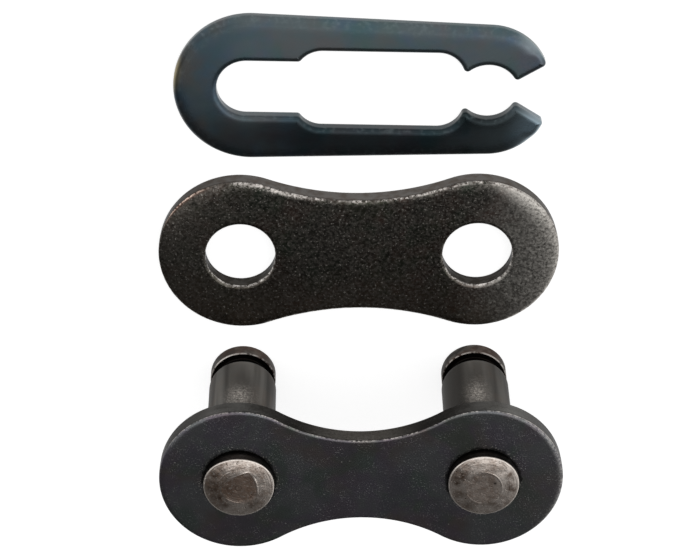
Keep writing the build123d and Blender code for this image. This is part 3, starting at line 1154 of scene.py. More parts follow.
def ground_pin_steel(colours):
    """Alloy steel, turned, case-hardened and ground.

    A satin grey-brown skin with soft light and dark streaks along the pin, which are painted
    reflections. Its front is painted lighter as a painted reflection, with a painted dark
    reflection band on each side, a scuffed patch beside the plate that is also a painted
    highlight, painted shade on the right pin's left side, and a darker neck. The tip is browner,
    with bright lips at the clip groove, one lip with a painted highlight, and painted shade
    inside the groove.
    """
    material, tree, shader, place = bare_steel("ground_pin_steel", 0.44, 0.6)
    rim, shade, scuff_and_highlight, front, dark_reflection_band = (
        add_node(tree, "ShaderNodeAttribute", {"attribute_name": name}).outputs["Fac"]
        for name in ("rim", "shade", "scuff_and_highlight", "front", "dark_reflection_band")
    )
    drawn = add_node(
        tree, "ShaderNodeMapping", None, {"Vector": place, "Scale": (1, 1, 0.07)}
    ).outputs[0]
    # Painted reflections: soft light and dark streaks along the pin
    light = grain_mask(tree, drawn, 0.55 * MM, 0.42, 0.62, Detail=2.0)
    dark = grain_mask(tree, drawn, 0.42 * MM, 0.50, 0.68, Detail=1.0, Distortion=0.3)
    brown = grain_mask(tree, place, 1.1 * MM, 0.42, 0.6, Detail=2.0)
    # Real grinding grit is about 0.01 mm. It is drawn at 0.07 mm, and the scuff's torn flecks
    # and pits at 0.11 and 0.14 mm, because they would be too fine to show.
    grit = grain_mask(tree, place, 0.07 * MM, 0.3, 0.7, Detail=2.0)
    flecks = grain_mask(tree, place, 0.11 * MM, 0.50, 0.62, Detail=2.0)
    pits = grain_mask(tree, place, 0.14 * MM, 0.62, 0.70, Detail=1.0)
    chips = grain_mask(tree, place, 0.3 * MM, 0.42, 0.55, Detail=2.0)
    patches = grain_mask(tree, place, 0.5 * MM, 0.46, 0.62, Detail=3.0)
    right_pin = ramp_along(tree, place, 0, 0.0, 1.0)
    # Painted shade on the right pin's left side
    right_pin_left_shade = ramp_along(tree, place, 0, 6.1, 5.1)
    tip = ramp_along(tree, place, 2, 1.0, 0.9)
    neck = ramp_along(tree, place, 2, 5.5, 2.0)
    # Painted highlight on the left tip's lip
    lip_highlight = spot_mask(tree, place, (-7.4, -7.2, 0.86), (1.0, 1.2, 3.0))
    lay_coats(
        tree,
        shader,
        colours.shank_steel,
        (
            (linear("#554538"), 0.4, brown),
            # Painted reflections: light and dark streaks along the pin
            (linear("#74726e"), 0.5, light),
            (linear("#302e2b"), 0.5, dark),
            # Painted shade on the right pin's left side
            (linear("#2a2826"), 0.6, right_pin_left_shade, right_pin),
            # Painted reflection along the shank's front
            (linear("#94908a"), 0.42, front),
            # Painted dark reflection bands on each side of the front
            (linear("#211f1d"), 0.75, dark_reflection_band),
            (linear("#34322f"), 0.25, right_pin),
            (linear("#2a2825"), 0.25, neck),
            (linear("#2f2b28"), 0.85, tip),
            (linear("#6f6c66"), 0.4, tip, patches),
            (linear("#543b2f"), 0.35, tip, brown),
            # A scuffed patch beside the plate, which is also a painted highlight
            (linear("#99948e"), 0.75, scuff_and_highlight),
            (linear("#d8d1c9"), 0.45, scuff_and_highlight, flecks),
            (linear("#262321"), 0.8, scuff_and_highlight, pits),
            (colours.worn_steel, 0.45, rim, chips),
            # Painted highlight on the left tip's lip
            (colours.worn_steel, 0.7, rim, lip_highlight),
            # Painted shade in the clip groove, on the shank's lead, on the head's side and in the pit
            (linear("#0d0c0b"), 0.95, shade),
        ),
    )
    roughen(tree, shader, scuff_and_highlight, 0.44, 0.75)
    emboss(tree, shader, ((0.0015, grit), (0.02, flecks, scuff_and_highlight)))
    return material


def riveted_head_steel(colours, pitch):
    """The same steel where the riveting tool has worked it.

    Bare and mottled, with rings left by the spinning tool, fine dark pits, brown heat stains
    and burns, a flattened middle that is browner than the dome, a thin bright rim and a side
    darkened with painted shade. One head has a painted sheen on one side, and the other is
    browner there.
    """
    material, tree, shader, place = bare_steel("riveted_head_steel", 0.36, 0.8)
    rim, shade, facet, burn = (
        add_node(tree, "ShaderNodeAttribute", {"attribute_name": name}).outputs["Fac"]
        for name in ("rim", "shade", "facet", "burn")
    )
    rings = add_node(
        tree, "ShaderNodeCombineXYZ", None, {"X": from_pins(tree, place, pitch)}
    ).outputs[0]
    stain = grain_mask(tree, place, 0.5 * MM, 0.44, 0.64, Detail=4.0, Roughness=0.6)
    mottle = grain_mask(tree, place, 0.17 * MM, 0.50, 0.68, Detail=3.0, Roughness=0.6)
    bright = grain_mask(tree, place, 0.12 * MM, 0.55, 0.72, Detail=2.0)
    # Real pits and tool rings are a few hundredths of a millimetre. They are drawn at 0.10 mm,
    # and the grit at 0.05 mm, because they would be too fine to show.
    pits = grain_mask(tree, place, 0.10 * MM, 0.66, 0.72, Detail=1.0)
    grit = grain_mask(tree, place, 0.05 * MM, 0.25, 0.75, Detail=2.0)
    hammered = grain_mask(tree, place, 0.22 * MM, 0.2, 0.8, Detail=2.0)
    spun = grain_mask(tree, rings, 0.10 * MM, 0.35, 0.65, Detail=1.0)
    spun_where = grain_mask(tree, place, 0.8 * MM, 0.45, 0.60)
    # Painted sheen on one side of the right head
    painted_sheen = spot_mask(tree, place, (7.9, -8.4, 11.3), (1.3, 1.7, 9.0))
    left_side = spot_mask(tree, place, (-7.6, -8.5, 11.3), (1.2, 1.7, 9.0))
    lay_coats(
        tree,
        shader,
        colours.head_steel,
        (
            (linear("#7d6a5d"), 0.6, stain),
            (linear("#927766"), 0.7, facet),
            (linear("#5f4d40"), 0.5, mottle),
            (linear("#54443a"), 0.35, spun, spun_where),
            (linear("#6a5340"), 0.45, left_side),
            # Painted sheen on the right head
            (linear("#f0e8e0"), 0.42, painted_sheen),
            (linear("#4a3626"), 0.85, burn),
            (linear("#d9d2cb"), 0.4, bright),
            (linear("#2a211c"), 0.7, pits),
            (linear("#e0d8d0"), 0.8, rim),
            # Painted shade on the head's side and in the right head's pit
            (linear("#0f0d0c"), 0.96, shade),
        ),
    )
    roughen(tree, shader, mottle, 0.31, 0.44)
    emboss(
        tree,
        shader,
        ((0.005, hammered), (0.0018, grit), (0.006, spun, spun_where), (-0.006, pits)),
    )
    return material


# ---- Pieces -------------------------------------------------------------------------------


# How each edge is rolled, bevelled and broken out by its die. A roll is its width and depth, and
# the broad one is towards a plate's ends and round the clip's outside.
COVER_EDGE = {
    "roll": (0.28 * MM, 0.11 * MM),
    "broad_roll": (1.9 * MM, 0.32 * MM),
    "power": 2.1,
    "bevel": 0.08 * MM,
    "breakout": 0.02 * MM,
}
COVER_HOLE = {
    "roll": (0.20 * MM, 0.13 * MM),
    "power": PLAIN_ROUND,
    "bevel": 0.14 * MM,
    "breakout": 0.03 * MM,
    "bore": 1.0,
}
PIN_PLATE_EDGE = {
    "roll": (0.13 * MM, 0.09 * MM),
    "broad_roll": (0.34 * MM, 0.15 * MM),
    "power": 2.2,
    "bevel": 0.08 * MM,
    "breakout": 0.02 * MM,
}
PIN_PLATE_HOLE = {
    "roll": (0.05 * MM, 0.05 * MM),
    "power": PLAIN_ROUND,
    "bevel": 0.05 * MM,
    "bore": 1.0,
}
CLIP_EDGE = {
    "roll": (0.32 * MM, 0.24 * MM),
    "broad_roll": (0.76 * MM, 0.40 * MM),
    "power": 2.5,
    "bevel": 0.12 * MM,
}

# What tumbling did to each rim
COVER_WEAR = {"Wear": 0.012 * MM, "Wear Grain": 4500.0, "Seed": 3.0}
PIN_PLATE_WEAR = {"Wear": 0.006 * MM, "Wear Grain": 4500.0, "Seed": 8.0}
CLIP_WEAR = {"Wear": 0.001 * MM, "Wear Grain": 2500.0, "Seed": 5.0}

HOLE_COUNT = 2
HOLE_SEGMENTS = 180
BROAD_POWER = 3.0


def build_plate(name, sizes, waist, hole_diameter, edge_shape, hole_shape, wear, material):
    """One link plate: a stamping with two holes."""
    thickness = cad_size(name, 2)
    outline = link_plate_outline(sizes.pitch, cad_size(name, 1), waist, sizes.sample_step)
    reach = cad_size(name, 0) / 2
    base = wire(
        name + "_outline",
        outline,
        True,
        {"room": [FREE_ROOM] * len(outline), "broad": [abs(x / reach) ** BROAD_POWER for x, _ in outline]},
    )
    edge = edge_section(name + "_edge", thickness, **edge_shape)
    hole = edge_section(name + "_hole", thickness, **hole_shape)
    piece = grown_piece(
        name + "_body",
        base,
        shared_tree("Stamped blank", stamped_blank_tree),
        {
            "Edge Section": edge,
            "Hole Section": hole,
            "Hole Count": HOLE_COUNT,
            "Pitch": sizes.pitch,
            "Hole Radius": hole_diameter / 2,
            "Hole Segments": HOLE_SEGMENTS,
            "Thickness": thickness,
            "Place": middle(name),
            "Material": material,
            **wear,
        },
    )
    for drawn in (edge, hole):
        bpy.data.objects.remove(drawn)
    hand_over(piece, name)


class CONNECTINGLINK_OT_link_plates(bpy.types.Operator):
    """Builds the pin plate and the loose cover plate"""

    bl_idname = "connecting_link.link_plates"
    bl_label = "Link plates"

    def execute(self, context):
        sizes = context.scene.connecting_link_sizes
        colours = context.scene.connecting_link_finish
        build_plate(
            "cover_plate",
            sizes,
            sizes.cover_plate_waist,
            sizes.hole_diameter,
            COVER_EDGE,
            COVER_HOLE,
            COVER_WEAR,
            peened_oxide_steel(colours),
        )
        build_plate(
            "pin_plate",
            sizes,
            sizes.pin_plate_waist,
            sizes.pin_diameter,
            PIN_PLATE_EDGE,
            PIN_PLATE_HOLE,
            PIN_PLATE_WEAR,
            tumbled_oxide_steel(colours, sizes.pitch),
        )
        return {"FINISHED"}


# The pin's tip, clip groove, shank and riveted head, with how many points each corner gets
TIP_THICKNESS = 0.86 * MM
TIP_ROUND = 0.08 * MM
TIP_ROUND_POINTS = 8
TIP_WALL_ROWS = (0.35, 0.6, 0.8, 0.88)
LIP_ROUND = 0.05 * MM
LIP_SHADE = 1.4 * LIP_ROUND
LIP_POINTS = 4
GROOVE_ROOT = 0.07 * MM
GROOVE_TOP = 1.66 * MM
ROOT_POINTS = 4
SHANK_LEAD = 0.16 * MM
LEAD_POINTS = 5
SHANK_ROWS = 40
HEAD_DRAFT = 0.03 * MM
HEAD_ROUND = 0.07 * MM
HEAD_ROUND_POINTS = 6
HEAD_RIM = 0.50 * MM
HEAD_CROWN = 0.76 * MM
HEAD_DOME_POWER = 1.8
HEAD_FLAT = 0.685 * MM
HEAD_FLAT_BLEND = 0.02 * MM
HEAD_RINGS = 72


def dome_height(radius, reach):
    """How high a rivet head is above the plate at a radius, with its crown pressed flat."""
    dome = HEAD_CROWN - (HEAD_CROWN - HEAD_RIM) * (radius / reach) ** HEAD_DOME_POWER
    return (dome + HEAD_FLAT - hypot(dome - HEAD_FLAT, HEAD_FLAT_BLEND)) / 2


def pin_half_section(sizes, plate_top):
    """The pin's half section, as (radius, height, rim, shade) from the tip's middle to the head's."""
    shank = sizes.pin_diameter / 2
    tip = sizes.tip_diameter / 2
    groove = sizes.groove_diameter / 2
    head = sizes.head_diameter / 2
    tip_corner = rolled(TIP_ROUND, TIP_ROUND, PLAIN_ROUND, TIP_ROUND_POINTS)
    lip_corner = rolled(LIP_ROUND, LIP_ROUND, PLAIN_ROUND, LIP_POINTS)[::-1]
    root_corner = rolled(GROOVE_ROOT, GROOVE_ROOT, PLAIN_ROUND, ROOT_POINTS)
    lead_corner = rolled(SHANK_LEAD, SHANK_LEAD, PLAIN_ROUND, LEAD_POINTS)
    head_corner = rolled(HEAD_ROUND, HEAD_ROUND, PLAIN_ROUND, HEAD_ROUND_POINTS)[::-1]
    shank_start = GROOVE_TOP + SHANK_LEAD
    shank_length = plate_top - shank_start
    crown = head - HEAD_DRAFT
    reach = crown - HEAD_ROUND
    points = [(0, 0, 0, 0), (tip / 2, 0, 0, 0)]
    points += [(tip - inset, drop, 0, 0) for inset, drop in tip_corner]
    points += [(tip, TIP_THICKNESS * share, 0, 0) for share in TIP_WALL_ROWS]
    points += [(tip - inset, TIP_THICKNESS - drop, 1, 0) for inset, drop in lip_corner]
    # The last column is painted shade, here in the clip groove and on the shank's lead
    points += [(tip - LIP_SHADE, TIP_THICKNESS, 0, 1)]
    points += [(groove + inset, TIP_THICKNESS + drop, 0, 1) for inset, drop in root_corner]
    points += [(groove + inset, GROOVE_TOP - drop, 0, 1) for inset, drop in root_corner[::-1]]
    points += [(shank - inset, GROOVE_TOP + drop, 0, 1 - drop / SHANK_LEAD) for inset, drop in lead_corner]
    points += [(shank, shank_start + shank_length * i / SHANK_ROWS, 0, 0) for i in range(1, SHANK_ROWS + 1)]
    # The head's side, with painted shade
    points += [(head, plate_top, 0, 1), (head - HEAD_DRAFT / 2, plate_top + HEAD_RIM / 2, 0, 1)]
    points += [
        (crown - inset, plate_top + HEAD_RIM - drop, 1 - drop / HEAD_ROUND, drop / HEAD_ROUND)
        for inset, drop in head_corner
    ]
    for i in range(1, HEAD_RINGS + 1):
        radius = reach * (1 - i / HEAD_RINGS)
        points.append((radius, plate_top + dome_height(radius, reach), 0, 0))
    return points


def inside_discs(x, y, discs):
    """How far a point is outside the area that some discs share, or inside it, as a negative number."""
    return max(hypot(x - disc_x, y - disc_y) - radius for disc_x, disc_y, radius in discs)


def line_at(distance, width):
    """1 on a line, fading to 0 within about twice its width."""
    return exp(-((distance / width) ** 2))


def between(value, start, end, fade):
    """1 between two values, fading to 0 outside them."""
    return eased(value, start - fade, start) * (1 - eased(value, end, end + fade))


# How the riveting tool worked each head, in millimetres from the pin's axis. A disc and a flat
# are (x, y, radius). A burn is (x, y, size, share). A ridge or scratch is its height, how far out
# its line is, the line's width, and the degrees round the head between which it runs, with their
# fade. A plane is its height and how it slopes along x and y.
LEFT_FACET = ((1.21, -1.77, 2.80), (-0.80, -0.18, 1.73), (0.10, 0.08, 1.02))
LEFT_PLANE = (0.655, -0.024, 0.008)
# Its facet's edge is crisp, and softer low down
LEFT_CRISP = 0.025
LEFT_SOFT = 0.16
LEFT_SOFT_WHERE = (0.15, 0.60)
# One ridge stands along the leaf's upper edge, and one beside its sharp corner
LEFT_RIDGE = 0.012
LEFT_RIDGE_WIDTH = 0.026
LEFT_RIDGE_SLOPE = 0.35
LEFT_RIDGE_START = (0.05, 0.35)
LEFT_RIDGE_END = (0.50, 0.58)
LEFT_CORNER = 0.014
LEFT_CORNER_OUT = 0.05
LEFT_CORNER_WIDTH = 0.03
LEFT_CORNER_START = (0.50, 0.66)
LEFT_CORNER_WHERE = (-0.45, 0.45, 0.2)
LEFT_SCRATCHES = (
    (0.016, 0.92, 0.024, -128, -92, 12),
    (0.010, 1.12, 0.024, -150, -112, 12),
    (0.008, 1.05, 0.024, 118, 150, 12),
)
LEFT_BURNS = (
    (-1.35, 0.00, 0.40, 0.8),
    (-1.20, 0.78, 0.28, 0.8),
    (-1.10, -0.62, 0.34, 0.8),
    (-0.45, -0.10, 0.40, 0.35),
    (-0.08, 1.58, 0.14, 0.8),
    (0.68, -1.15, 0.30, 0.55),
    (-0.75, -1.10, 0.30, 0.5),
    (-1.00, 1.15, 0.30, 0.5),
)
RIGHT_FLAT = (0.0, -0.10, 0.90)
RIGHT_PLANE = (0.662, -0.012, 0.0)
# Its flat's edge is crisp on one side, and softer away from it
RIGHT_CRISP = 0.022
RIGHT_SOFT = 0.075
RIGHT_CRISP_SIDE = radians(38)
RIGHT_RIDGES = (
    (0.017, 0.06, 0.028, -150, -104, 12),
    (0.017, 0.06, 0.028, -66, -40, 10),
    (0.010, 0.05, 0.026, 5, 80, 15),
)
RIGHT_PIT = (0.57, 0.17)
RIGHT_PIT_DEPTH = 0.010
RIGHT_PIT_SIZE = 0.05
RIGHT_PIT_SHADE = 0.075
RIGHT_STAIN = 0.4
RIGHT_BURNS = (
    (-1.28, 0.65, 0.42, 0.8),
    (-1.38, 0.20, 0.26, 0.7),
    (-0.35, 1.35, 0.22, 0.4),
    (1.36, 0.58, 0.24, 1.0),
    (1.30, 0.15, 0.20, 0.9),
    (1.46, -0.18, 0.28, 1.2),
    (0.90, 1.05, 0.20, 0.5),
    (-0.80, -1.20, 0.34, 0.5),
    (-1.25, -0.60, 0.26, 0.5),
    (0.75, -1.35, 0.24, 0.5),
)


def arc_marks(marks, out, around):
    """How high some ridges or scratches stand at a place, by how far out and round it is."""
    return sum(
        height * line_at(out - line, width) * between(around, start, end, fade)
        for height, line, width, start, end, fade in marks
    )


def left_head(x, y, dome):
    """The left head at a place: height, facet, shade. A leaf-shaped facet with one sharp corner."""
    edge = inside_discs(x, y, LEFT_FACET)
    blur = LEFT_CRISP + LEFT_SOFT * eased(-y, *LEFT_SOFT_WHERE)
    inside = 1 - eased(edge, -blur, blur)
    leaf_side = eased(y - LEFT_RIDGE_SLOPE * x, *LEFT_RIDGE_START) * (1 - eased(x, *LEFT_RIDGE_END))
    ridge = LEFT_RIDGE * line_at(edge, LEFT_RIDGE_WIDTH) * leaf_side
    corner_side = eased(x, *LEFT_CORNER_START) * between(y, *LEFT_CORNER_WHERE)
    ridge += LEFT_CORNER * line_at(edge - LEFT_CORNER_OUT, LEFT_CORNER_WIDTH) * corner_side
    scratch = arc_marks(LEFT_SCRATCHES, hypot(x, y), degrees(atan2(y, x)))
    height, along_x, along_y = LEFT_PLANE
    plane = height + along_x * x + along_y * y
    return dome + (plane - dome) * inside + ridge + scratch, inside, 0.0


def right_head(x, y, dome):
    """The right head at a place: height, facet, shade. A round flat, crisp on one side, with a pit."""
    flat_x, flat_y, flat_radius = RIGHT_FLAT
    around = atan2(y - flat_y, x - flat_x)
    edge = hypot(x - flat_x, y - flat_y) - flat_radius
    blur = RIGHT_CRISP + RIGHT_SOFT * (1 - cos(around - RIGHT_CRISP_SIDE))
    inside = 1 - eased(edge, -blur, blur)
    ridge = arc_marks(RIGHT_RIDGES, edge, degrees(around))
    pit = hypot(x - RIGHT_PIT[0], y - RIGHT_PIT[1])
    hollow = RIGHT_PIT_DEPTH * line_at(pit, RIGHT_PIT_SIZE)
    height, along_x, along_y = RIGHT_PLANE
    plane = height + along_x * x + along_y * y
    top = dome + (plane - dome) * inside + ridge - hollow
    # The third value is painted shade in the pit
    return top, RIGHT_STAIN * inside, line_at(pit, RIGHT_PIT_SHADE)


# Where the relief of a head fades out before its rim, how uneven the head is, as a depth in
# millimetres and how many waves there are to a millimetre, and how blotchy its burns are
HEAD_FADE = 0.12 * MM
HEAD_UNEVEN = ((0.008, 3), (0.003, 11))
BURN_BLOTCH = 0.9
BURN_WAVES = 4
BURN_SEED = 7
# Vertices this close to the edge of the dome still belong to it
ALMOST = 0.99
JUST_PAST = 1.001


def work_head(mesh, place, plate_top, reach, worked, burns, pull, seed):
    """Gives the smooth dome of a rivet head the facets, lean and unevenness of the riveting tool."""
    facets = []
    stains = []
    shades = [0.0] * len(mesh.vertices)
    mesh.attributes["shade"].data.foreach_get("value", shades)
    for vertex in mesh.vertices:
        rise = vertex.co.z - plate_top
        x = (vertex.co.x - place[0]) / MM
        y = (vertex.co.y - place[1]) / MM
        radius = hypot(x, y) * MM
        facet = 0.0
        stain = 0.0
        if rise > 0:
            y -= pull * (max(0.0, y) * MM / reach) ** 2 * eased(rise, 0, HEAD_RIM)
            vertex.co.y = place[1] + y * MM
        if rise > HEAD_RIM * ALMOST and radius < reach * JUST_PAST:
            height, facet, dark = worked(x, y, rise / MM)
            fade = min(1.0, (reach - radius) / HEAD_FADE)
            for depth, waves in HEAD_UNEVEN:
                height += depth * noise.noise(Vector((x * waves, y * waves, seed)))
            vertex.co.z = plate_top + (rise / MM + (height - rise / MM) * fade) * MM
            stain = max(
                share * line_at(hypot(x - at_x, y - at_y), size) for at_x, at_y, size, share in burns
            )
            blotch = noise.noise(Vector((x * BURN_WAVES, y * BURN_WAVES, seed + BURN_SEED)))
            stain *= 1.0 + BURN_BLOTCH * blotch
            shades[vertex.index] = max(shades[vertex.index], dark)
        facets.append(facet)
        stains.append(max(0.0, min(1.0, stain)))
    mesh.attributes["shade"].data.foreach_set("value", shades)
    paint_layers(mesh, {"facet": facets, "burn": stains})


# How wide the painted reflection along a shank's front is, in millimetres either way
FRONT_WIDTH = 0.85


def mark_shank(mesh, place, scuff_and_highlight, reflection_bands):
    """Marks where a shank's front gets a painted reflection, painted dark reflection bands, and a scuffed
    patch that is also a painted highlight.
    """
    across, below, wide, tall = scuff_and_highlight
    plate_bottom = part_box("pin_plate")[0].z
    painted_front_light = []
    reflection_banded = []
    scuffed_and_highlit = []
    for vertex in mesh.vertices:
        x = (vertex.co.x - place[0]) / MM
        depth = (plate_bottom - vertex.co.z) / MM
        front = vertex.co.y > place[1]
        # Painted reflection along the front
        painted_front_light.append(line_at(x, FRONT_WIDTH) if front else 0.0)
        # Painted dark reflection bands
        dark = max(share * line_at(x - middle_x, width) for middle_x, width, share in reflection_bands)
        reflection_banded.append(dark if front else 0.0)
        # A scuffed patch that is also a painted highlight
        scuffed_and_highlit.append(line_at(x - across, wide) * line_at(depth - below, tall) if front else 0.0)
    paint_layers(mesh, {"front": painted_front_light, "dark_reflection_band": reflection_banded, "scuff_and_highlight": scuffed_and_highlit})


# The scuff and painted highlight on each shank, as its place across and below the plate and its
# size both ways, and the shank's painted dark reflection bands, each as its place across, its width and its
# share
LEFT_SCUFF_AND_HIGHLIGHT = (-0.02, 4.35, 0.62, 0.95)
RIGHT_SCUFF_AND_HIGHLIGHT = (-0.10, 4.5, 0.50, 1.2)
LEFT_REFLECTION_BANDS = ((-0.82, 0.20, 0.8), (1.42, 0.14, 0.45))
RIGHT_REFLECTION_BANDS = ((-0.95, 0.32, 0.85), (0.95, 0.20, 0.6))

# Each pin: its name, its head's relief and burns, how far the head leans in at the front, and
# its shank's scuff with painted highlight and its painted dark reflection bands
WORKED_PINS = (
    ("left_pin", left_head, LEFT_BURNS, 0.205, LEFT_SCUFF_AND_HIGHLIGHT, LEFT_REFLECTION_BANDS),
    ("right_pin", right_head, RIGHT_BURNS, 0.135, RIGHT_SCUFF_AND_HIGHLIGHT, RIGHT_REFLECTION_BANDS),
)


class CONNECTINGLINK_OT_pins(bpy.types.Operator):
    """Builds the two turned pins with their clip grooves and riveted heads"""

    bl_idname = "connecting_link.pins"
    bl_label = "Pins"

    def execute(self, context):
        sizes = context.scene.connecting_link_sizes
        colours = context.scene.connecting_link_finish
        ground = ground_pin_steel(colours)
        riveted = riveted_head_steel(colours, sizes.pitch)
        plate_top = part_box("pin_plate")[1].z
        radii, heights, rims, shades = zip(*pin_half_section(sizes, plate_top))
        shank = sizes.pin_diameter / 2
        reach = radii[-HEAD_RINGS - 1]
        insets = [shank - radius for radius in radii]
        for seed, (name, worked, burns, pull, scuff_and_highlight, reflection_bands) in enumerate(WORKED_PINS):
            base = wire(
                name + "_section",
                [(radius, 0) for radius in radii],
                False,
                {"inset": insets, "height": heights, "rim": rims, "shade": shades},
            )
            place = middle(name)
            piece = grown_piece(
                name + "_turned",
                base,
                shared_tree("Turned pin", turned_pin_tree),
                {
                    "Radius": shank,
                    "Segments": sizes.pin_segments,
                    "Place": place,
                    "Material": ground,
                },
            )
            mesh = piece.data
            work_head(mesh, place, plate_top, reach, worked, burns, pull, seed)
            mark_shank(mesh, place, scuff_and_highlight, reflection_bands)
            mesh.materials.append(riveted)
            for face in mesh.polygons:
                if face.center.z > plate_top:
                    face.material_index = 1
            hand_over(piece, name)
        return {"FINISHED"}


class CONNECTINGLINK_OT_spring_clip(bpy.types.Operator):
    """Builds the forked spring clip"""

    bl_idname = "connecting_link.spring_clip"
    bl_label = "Spring clip"

    def execute(self, context):
        sizes = context.scene.connecting_link_sizes
        colours = context.scene.connecting_link_finish
        thickness = cad_size("spring_clip", 2)
        outline = clip_outline(sizes.pitch, sizes.groove_diameter, sizes.sample_step)
        base = wire(
            "clip_outline",
            outline,
            True,
            {"room": list(room_inside(outline)), "broad": [clip_outside(x, y) for x, y in outline]},
        )
        edge = edge_section("clip_edge", thickness, **CLIP_EDGE)
        cover_y = middle("cover_plate")[1]
        piece = grown_piece(
            "spring_clip_body",
            base,
            shared_tree("Stamped blank", stamped_blank_tree),
            {
                "Edge Section": edge,
                "Thickness": thickness,
                "Place": (CLIP_OFF_CENTRE, cover_y + CLIP_FROM_COVER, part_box("spring_clip")[0].z),
                "Turn": (0.0, 0.0, CLIP_TURN),
                "Material": tempered_spring_steel(colours),
                **CLIP_WEAR,
            },
        )
        bpy.data.objects.remove(edge)
        hand_over(piece, "spring_clip")
        return {"FINISHED"}


# ---- Stage --------------------------------------------------------------------------------

# The camera: its sensor and lens in millimetres, its clipping in metres, its tilt and lean in radians
SENSOR_WIDTH = 36.0
CAMERA_LENS = 148.1
CAMERA_NEAREST = 0.005
CAMERA_FURTHEST = 20.0
CAMERA_DISTANCE = 156.18 * MM
CAMERA_AIM = Vector((-0.466, -2.912, 0)) * MM
CAMERA_TILT = 0.51047
CAMERA_LEAN = 0.01055

# The room is white, and darker towards one side, between two angles from it
DARK_SIDE = Vector((-0.45, -0.95, 0.75))
DARK_SIDE_START = radians(40)
DARK_SIDE_END = radians(70)
ROOM_LIGHT = 1.20
ROOM_SHADE = 0.13

# The floor takes the object's shadow. It glows for camera, glossy and transmission rays alone, so
# that it looks white, also in the steel, and lights the object no more than a grey board would.
FLOOR_REACH = 0.6
FLOOR_WHITE = 0.36
FLOOR_GLOW = 0.80

# The strip light hangs over the row, and its front edge stands above the pins
STRIP_HEIGHT = 38 * MM
STRIP_EDGE = -9.9 * MM
STRIP_SIZE = (90 * MM, 24 * MM)
STRIP_LIGHT = 0.88
WHITE = (1.0, 1.0, 1.0, 1.0)


def lay_floor(scene):
    """A board of matt white paint, which gives a soft shadow and no shine."""
    board = bpy.data.meshes.new("floor")
    corners = [(x * FLOOR_REACH, y * FLOOR_REACH, 0) for x, y in ((-1, -1), (1, -1), (1, 1), (-1, 1))]
    board.from_pydata(corners, [], [(0, 1, 2, 3)])
    floor = bpy.data.objects.new("floor", board)
    scene.collection.objects.link(floor)
    paint = bpy.data.materials.new("matt_white_board")
    paint.use_nodes = True
    tree = paint.node_tree
    tree.nodes.remove(tree.nodes["Principled BSDF"])
    grey = (FLOOR_WHITE, FLOOR_WHITE, FLOOR_WHITE, 1)
    matt = add_node(tree, "ShaderNodeBsdfDiffuse", None, {"Color": grey})
    glow = add_node(tree, "ShaderNodeEmission", None, {"Color": WHITE, "Strength": FLOOR_GLOW})
    dark = add_node(tree, "ShaderNodeEmission", None, {"Strength": 0.0})
    ray = add_node(tree, "ShaderNodeLightPath").outputs
    seen = ray["Is Camera Ray"]
    for kind in ("Is Glossy Ray", "Is Transmission Ray"):
        seen = add_node(
            tree, "ShaderNodeMath", {"operation": "MAXIMUM"}, {0: seen, 1: ray[kind]}
        ).outputs[0]
    lit = add_node(tree, "ShaderNodeMixShader", None, {0: seen, 1: dark.outputs[0], 2: glow.outputs[0]})
    both = add_node(tree, "ShaderNodeAddShader", None, {0: matt.outputs[0], 1: lit.outputs[0]})
    tree.links.new(both.outputs[0], tree.nodes["Material Output"].inputs["Surface"])
    board.materials.append(paint)


def light_room(scene):
    """A white room round the object, with one darker side for the steel to reflect."""
    world = bpy.data.worlds.new("studio")
    world.use_nodes = True
    tree = world.node_tree
    direction = add_node(tree, "ShaderNodeTexCoord").outputs["Generated"]
    towards_dark = add_node(
        tree,
        "ShaderNodeVectorMath",
        {"operation": "DOT_PRODUCT"},
        {0: direction, 1: DARK_SIDE.normalized()},
    )
    walls = add_node(
        tree,
        "ShaderNodeMapRange",
        {"interpolation_type": "SMOOTHSTEP"},
        {
            0: towards_dark.outputs["Value"],
            1: cos(DARK_SIDE_END),
            2: cos(DARK_SIDE_START),
            3: ROOM_LIGHT,
            4: ROOM_SHADE,
        },
    )
    background = tree.nodes["Background"].inputs
    tree.links.new(walls.outputs[0], background["Strength"])
    background["Color"].default_value = WHITE
    scene.world = world


def hang_strip_light(scene):
    """A long soft light that faces straight down, with a given brightness whatever its size."""
    data = bpy.data.lights.new("strip", "AREA")
    data.shape = "RECTANGLE"
    data.size, data.size_y = STRIP_SIZE
    data.energy = STRIP_LIGHT * pi * STRIP_SIZE[0] * STRIP_SIZE[1]
    light = bpy.data.objects.new("strip", data)
    light.location = (0, STRIP_EDGE + STRIP_SIZE[1] / 2, STRIP_HEIGHT)
    light.visible_camera = False
    scene.collection.objects.link(light)


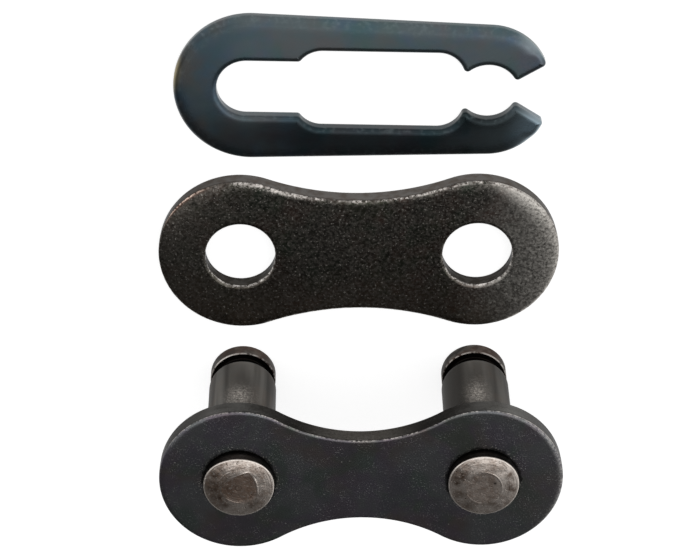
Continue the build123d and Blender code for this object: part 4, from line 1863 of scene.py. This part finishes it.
def place_camera(scene):
    """Looks down over the clip's side of the row, upside down, so the clip is at the top."""
    right = Vector((cos(CAMERA_LEAN), 0, sin(CAMERA_LEAN)))
    up = Vector(
        (sin(CAMERA_TILT) * sin(CAMERA_LEAN), cos(CAMERA_TILT), -sin(CAMERA_TILT) * cos(CAMERA_LEAN))
    )
    back = right.cross(up)
    data = bpy.data.cameras.new("camera")
    data.lens = CAMERA_LENS
    data.sensor_width = SENSOR_WIDTH
    data.sensor_fit = "HORIZONTAL"
    data.clip_start = CAMERA_NEAREST
    data.clip_end = CAMERA_FURTHEST
    camera = bpy.data.objects.new("camera", data)
    scene.collection.objects.link(camera)
    turn = Matrix((right, up, back)).transposed().to_4x4()
    camera.matrix_world = Matrix.Translation(CAMERA_AIM + back * CAMERA_DISTANCE) @ turn
    scene.camera = camera


class CONNECTINGLINK_OT_stage(bpy.types.Operator):
    """Sets the pale floor, the soft studio light and the camera"""

    bl_idname = "connecting_link.stage"
    bl_label = "Stage"

    def execute(self, context):
        scene = context.scene
        scene.view_settings.view_transform = "Standard"
        lay_floor(scene)
        light_room(scene)
        hang_strip_light(scene)
        place_camera(scene)
        return {"FINISHED"}


# ---- Add-on -------------------------------------------------------------------------------


class CONNECTINGLINK_PT_panel(bpy.types.Panel):
    """Lists the steps, the sizes and the colours"""

    bl_idname = "CONNECTINGLINK_PT_panel"
    bl_label = "Connecting Link"
    bl_space_type = "VIEW_3D"
    bl_region_type = "UI"
    bl_category = "Connecting Link"

    def draw(self, context):
        layout = self.layout
        for operator in OPERATORS:
            layout.operator(operator.bl_idname)
        for title, group in (
            ("Sizes", context.scene.connecting_link_sizes),
            ("Colours", context.scene.connecting_link_finish),
        ):
            box = layout.box()
            box.label(text=title)
            for name in group.__annotations__:
                box.prop(group, name)


OPERATORS = (
    CONNECTINGLINK_OT_stage,
    CONNECTINGLINK_OT_link_plates,
    CONNECTINGLINK_OT_pins,
    CONNECTINGLINK_OT_spring_clip,
)
CLASSES = (ConnectingLinkSizes, ConnectingLinkFinish, *OPERATORS, CONNECTINGLINK_PT_panel)


def register():
    """Adds the classes, and gives each scene its sizes and colours."""
    for item in CLASSES:
        bpy.utils.register_class(item)
    bpy.types.Scene.connecting_link_sizes = PointerProperty(type=ConnectingLinkSizes)
    bpy.types.Scene.connecting_link_finish = PointerProperty(type=ConnectingLinkFinish)


def unregister():
    """Takes the sizes, the colours and the classes away again."""
    del bpy.types.Scene.connecting_link_finish
    del bpy.types.Scene.connecting_link_sizes
    for item in reversed(CLASSES):
        bpy.utils.unregister_class(item)


def main():
    register()
    bpy.ops.connecting_link.stage()
    bpy.ops.connecting_link.link_plates()
    bpy.ops.connecting_link.pins()
    bpy.ops.connecting_link.spring_clip()


if __name__ == "__main__":
    main()
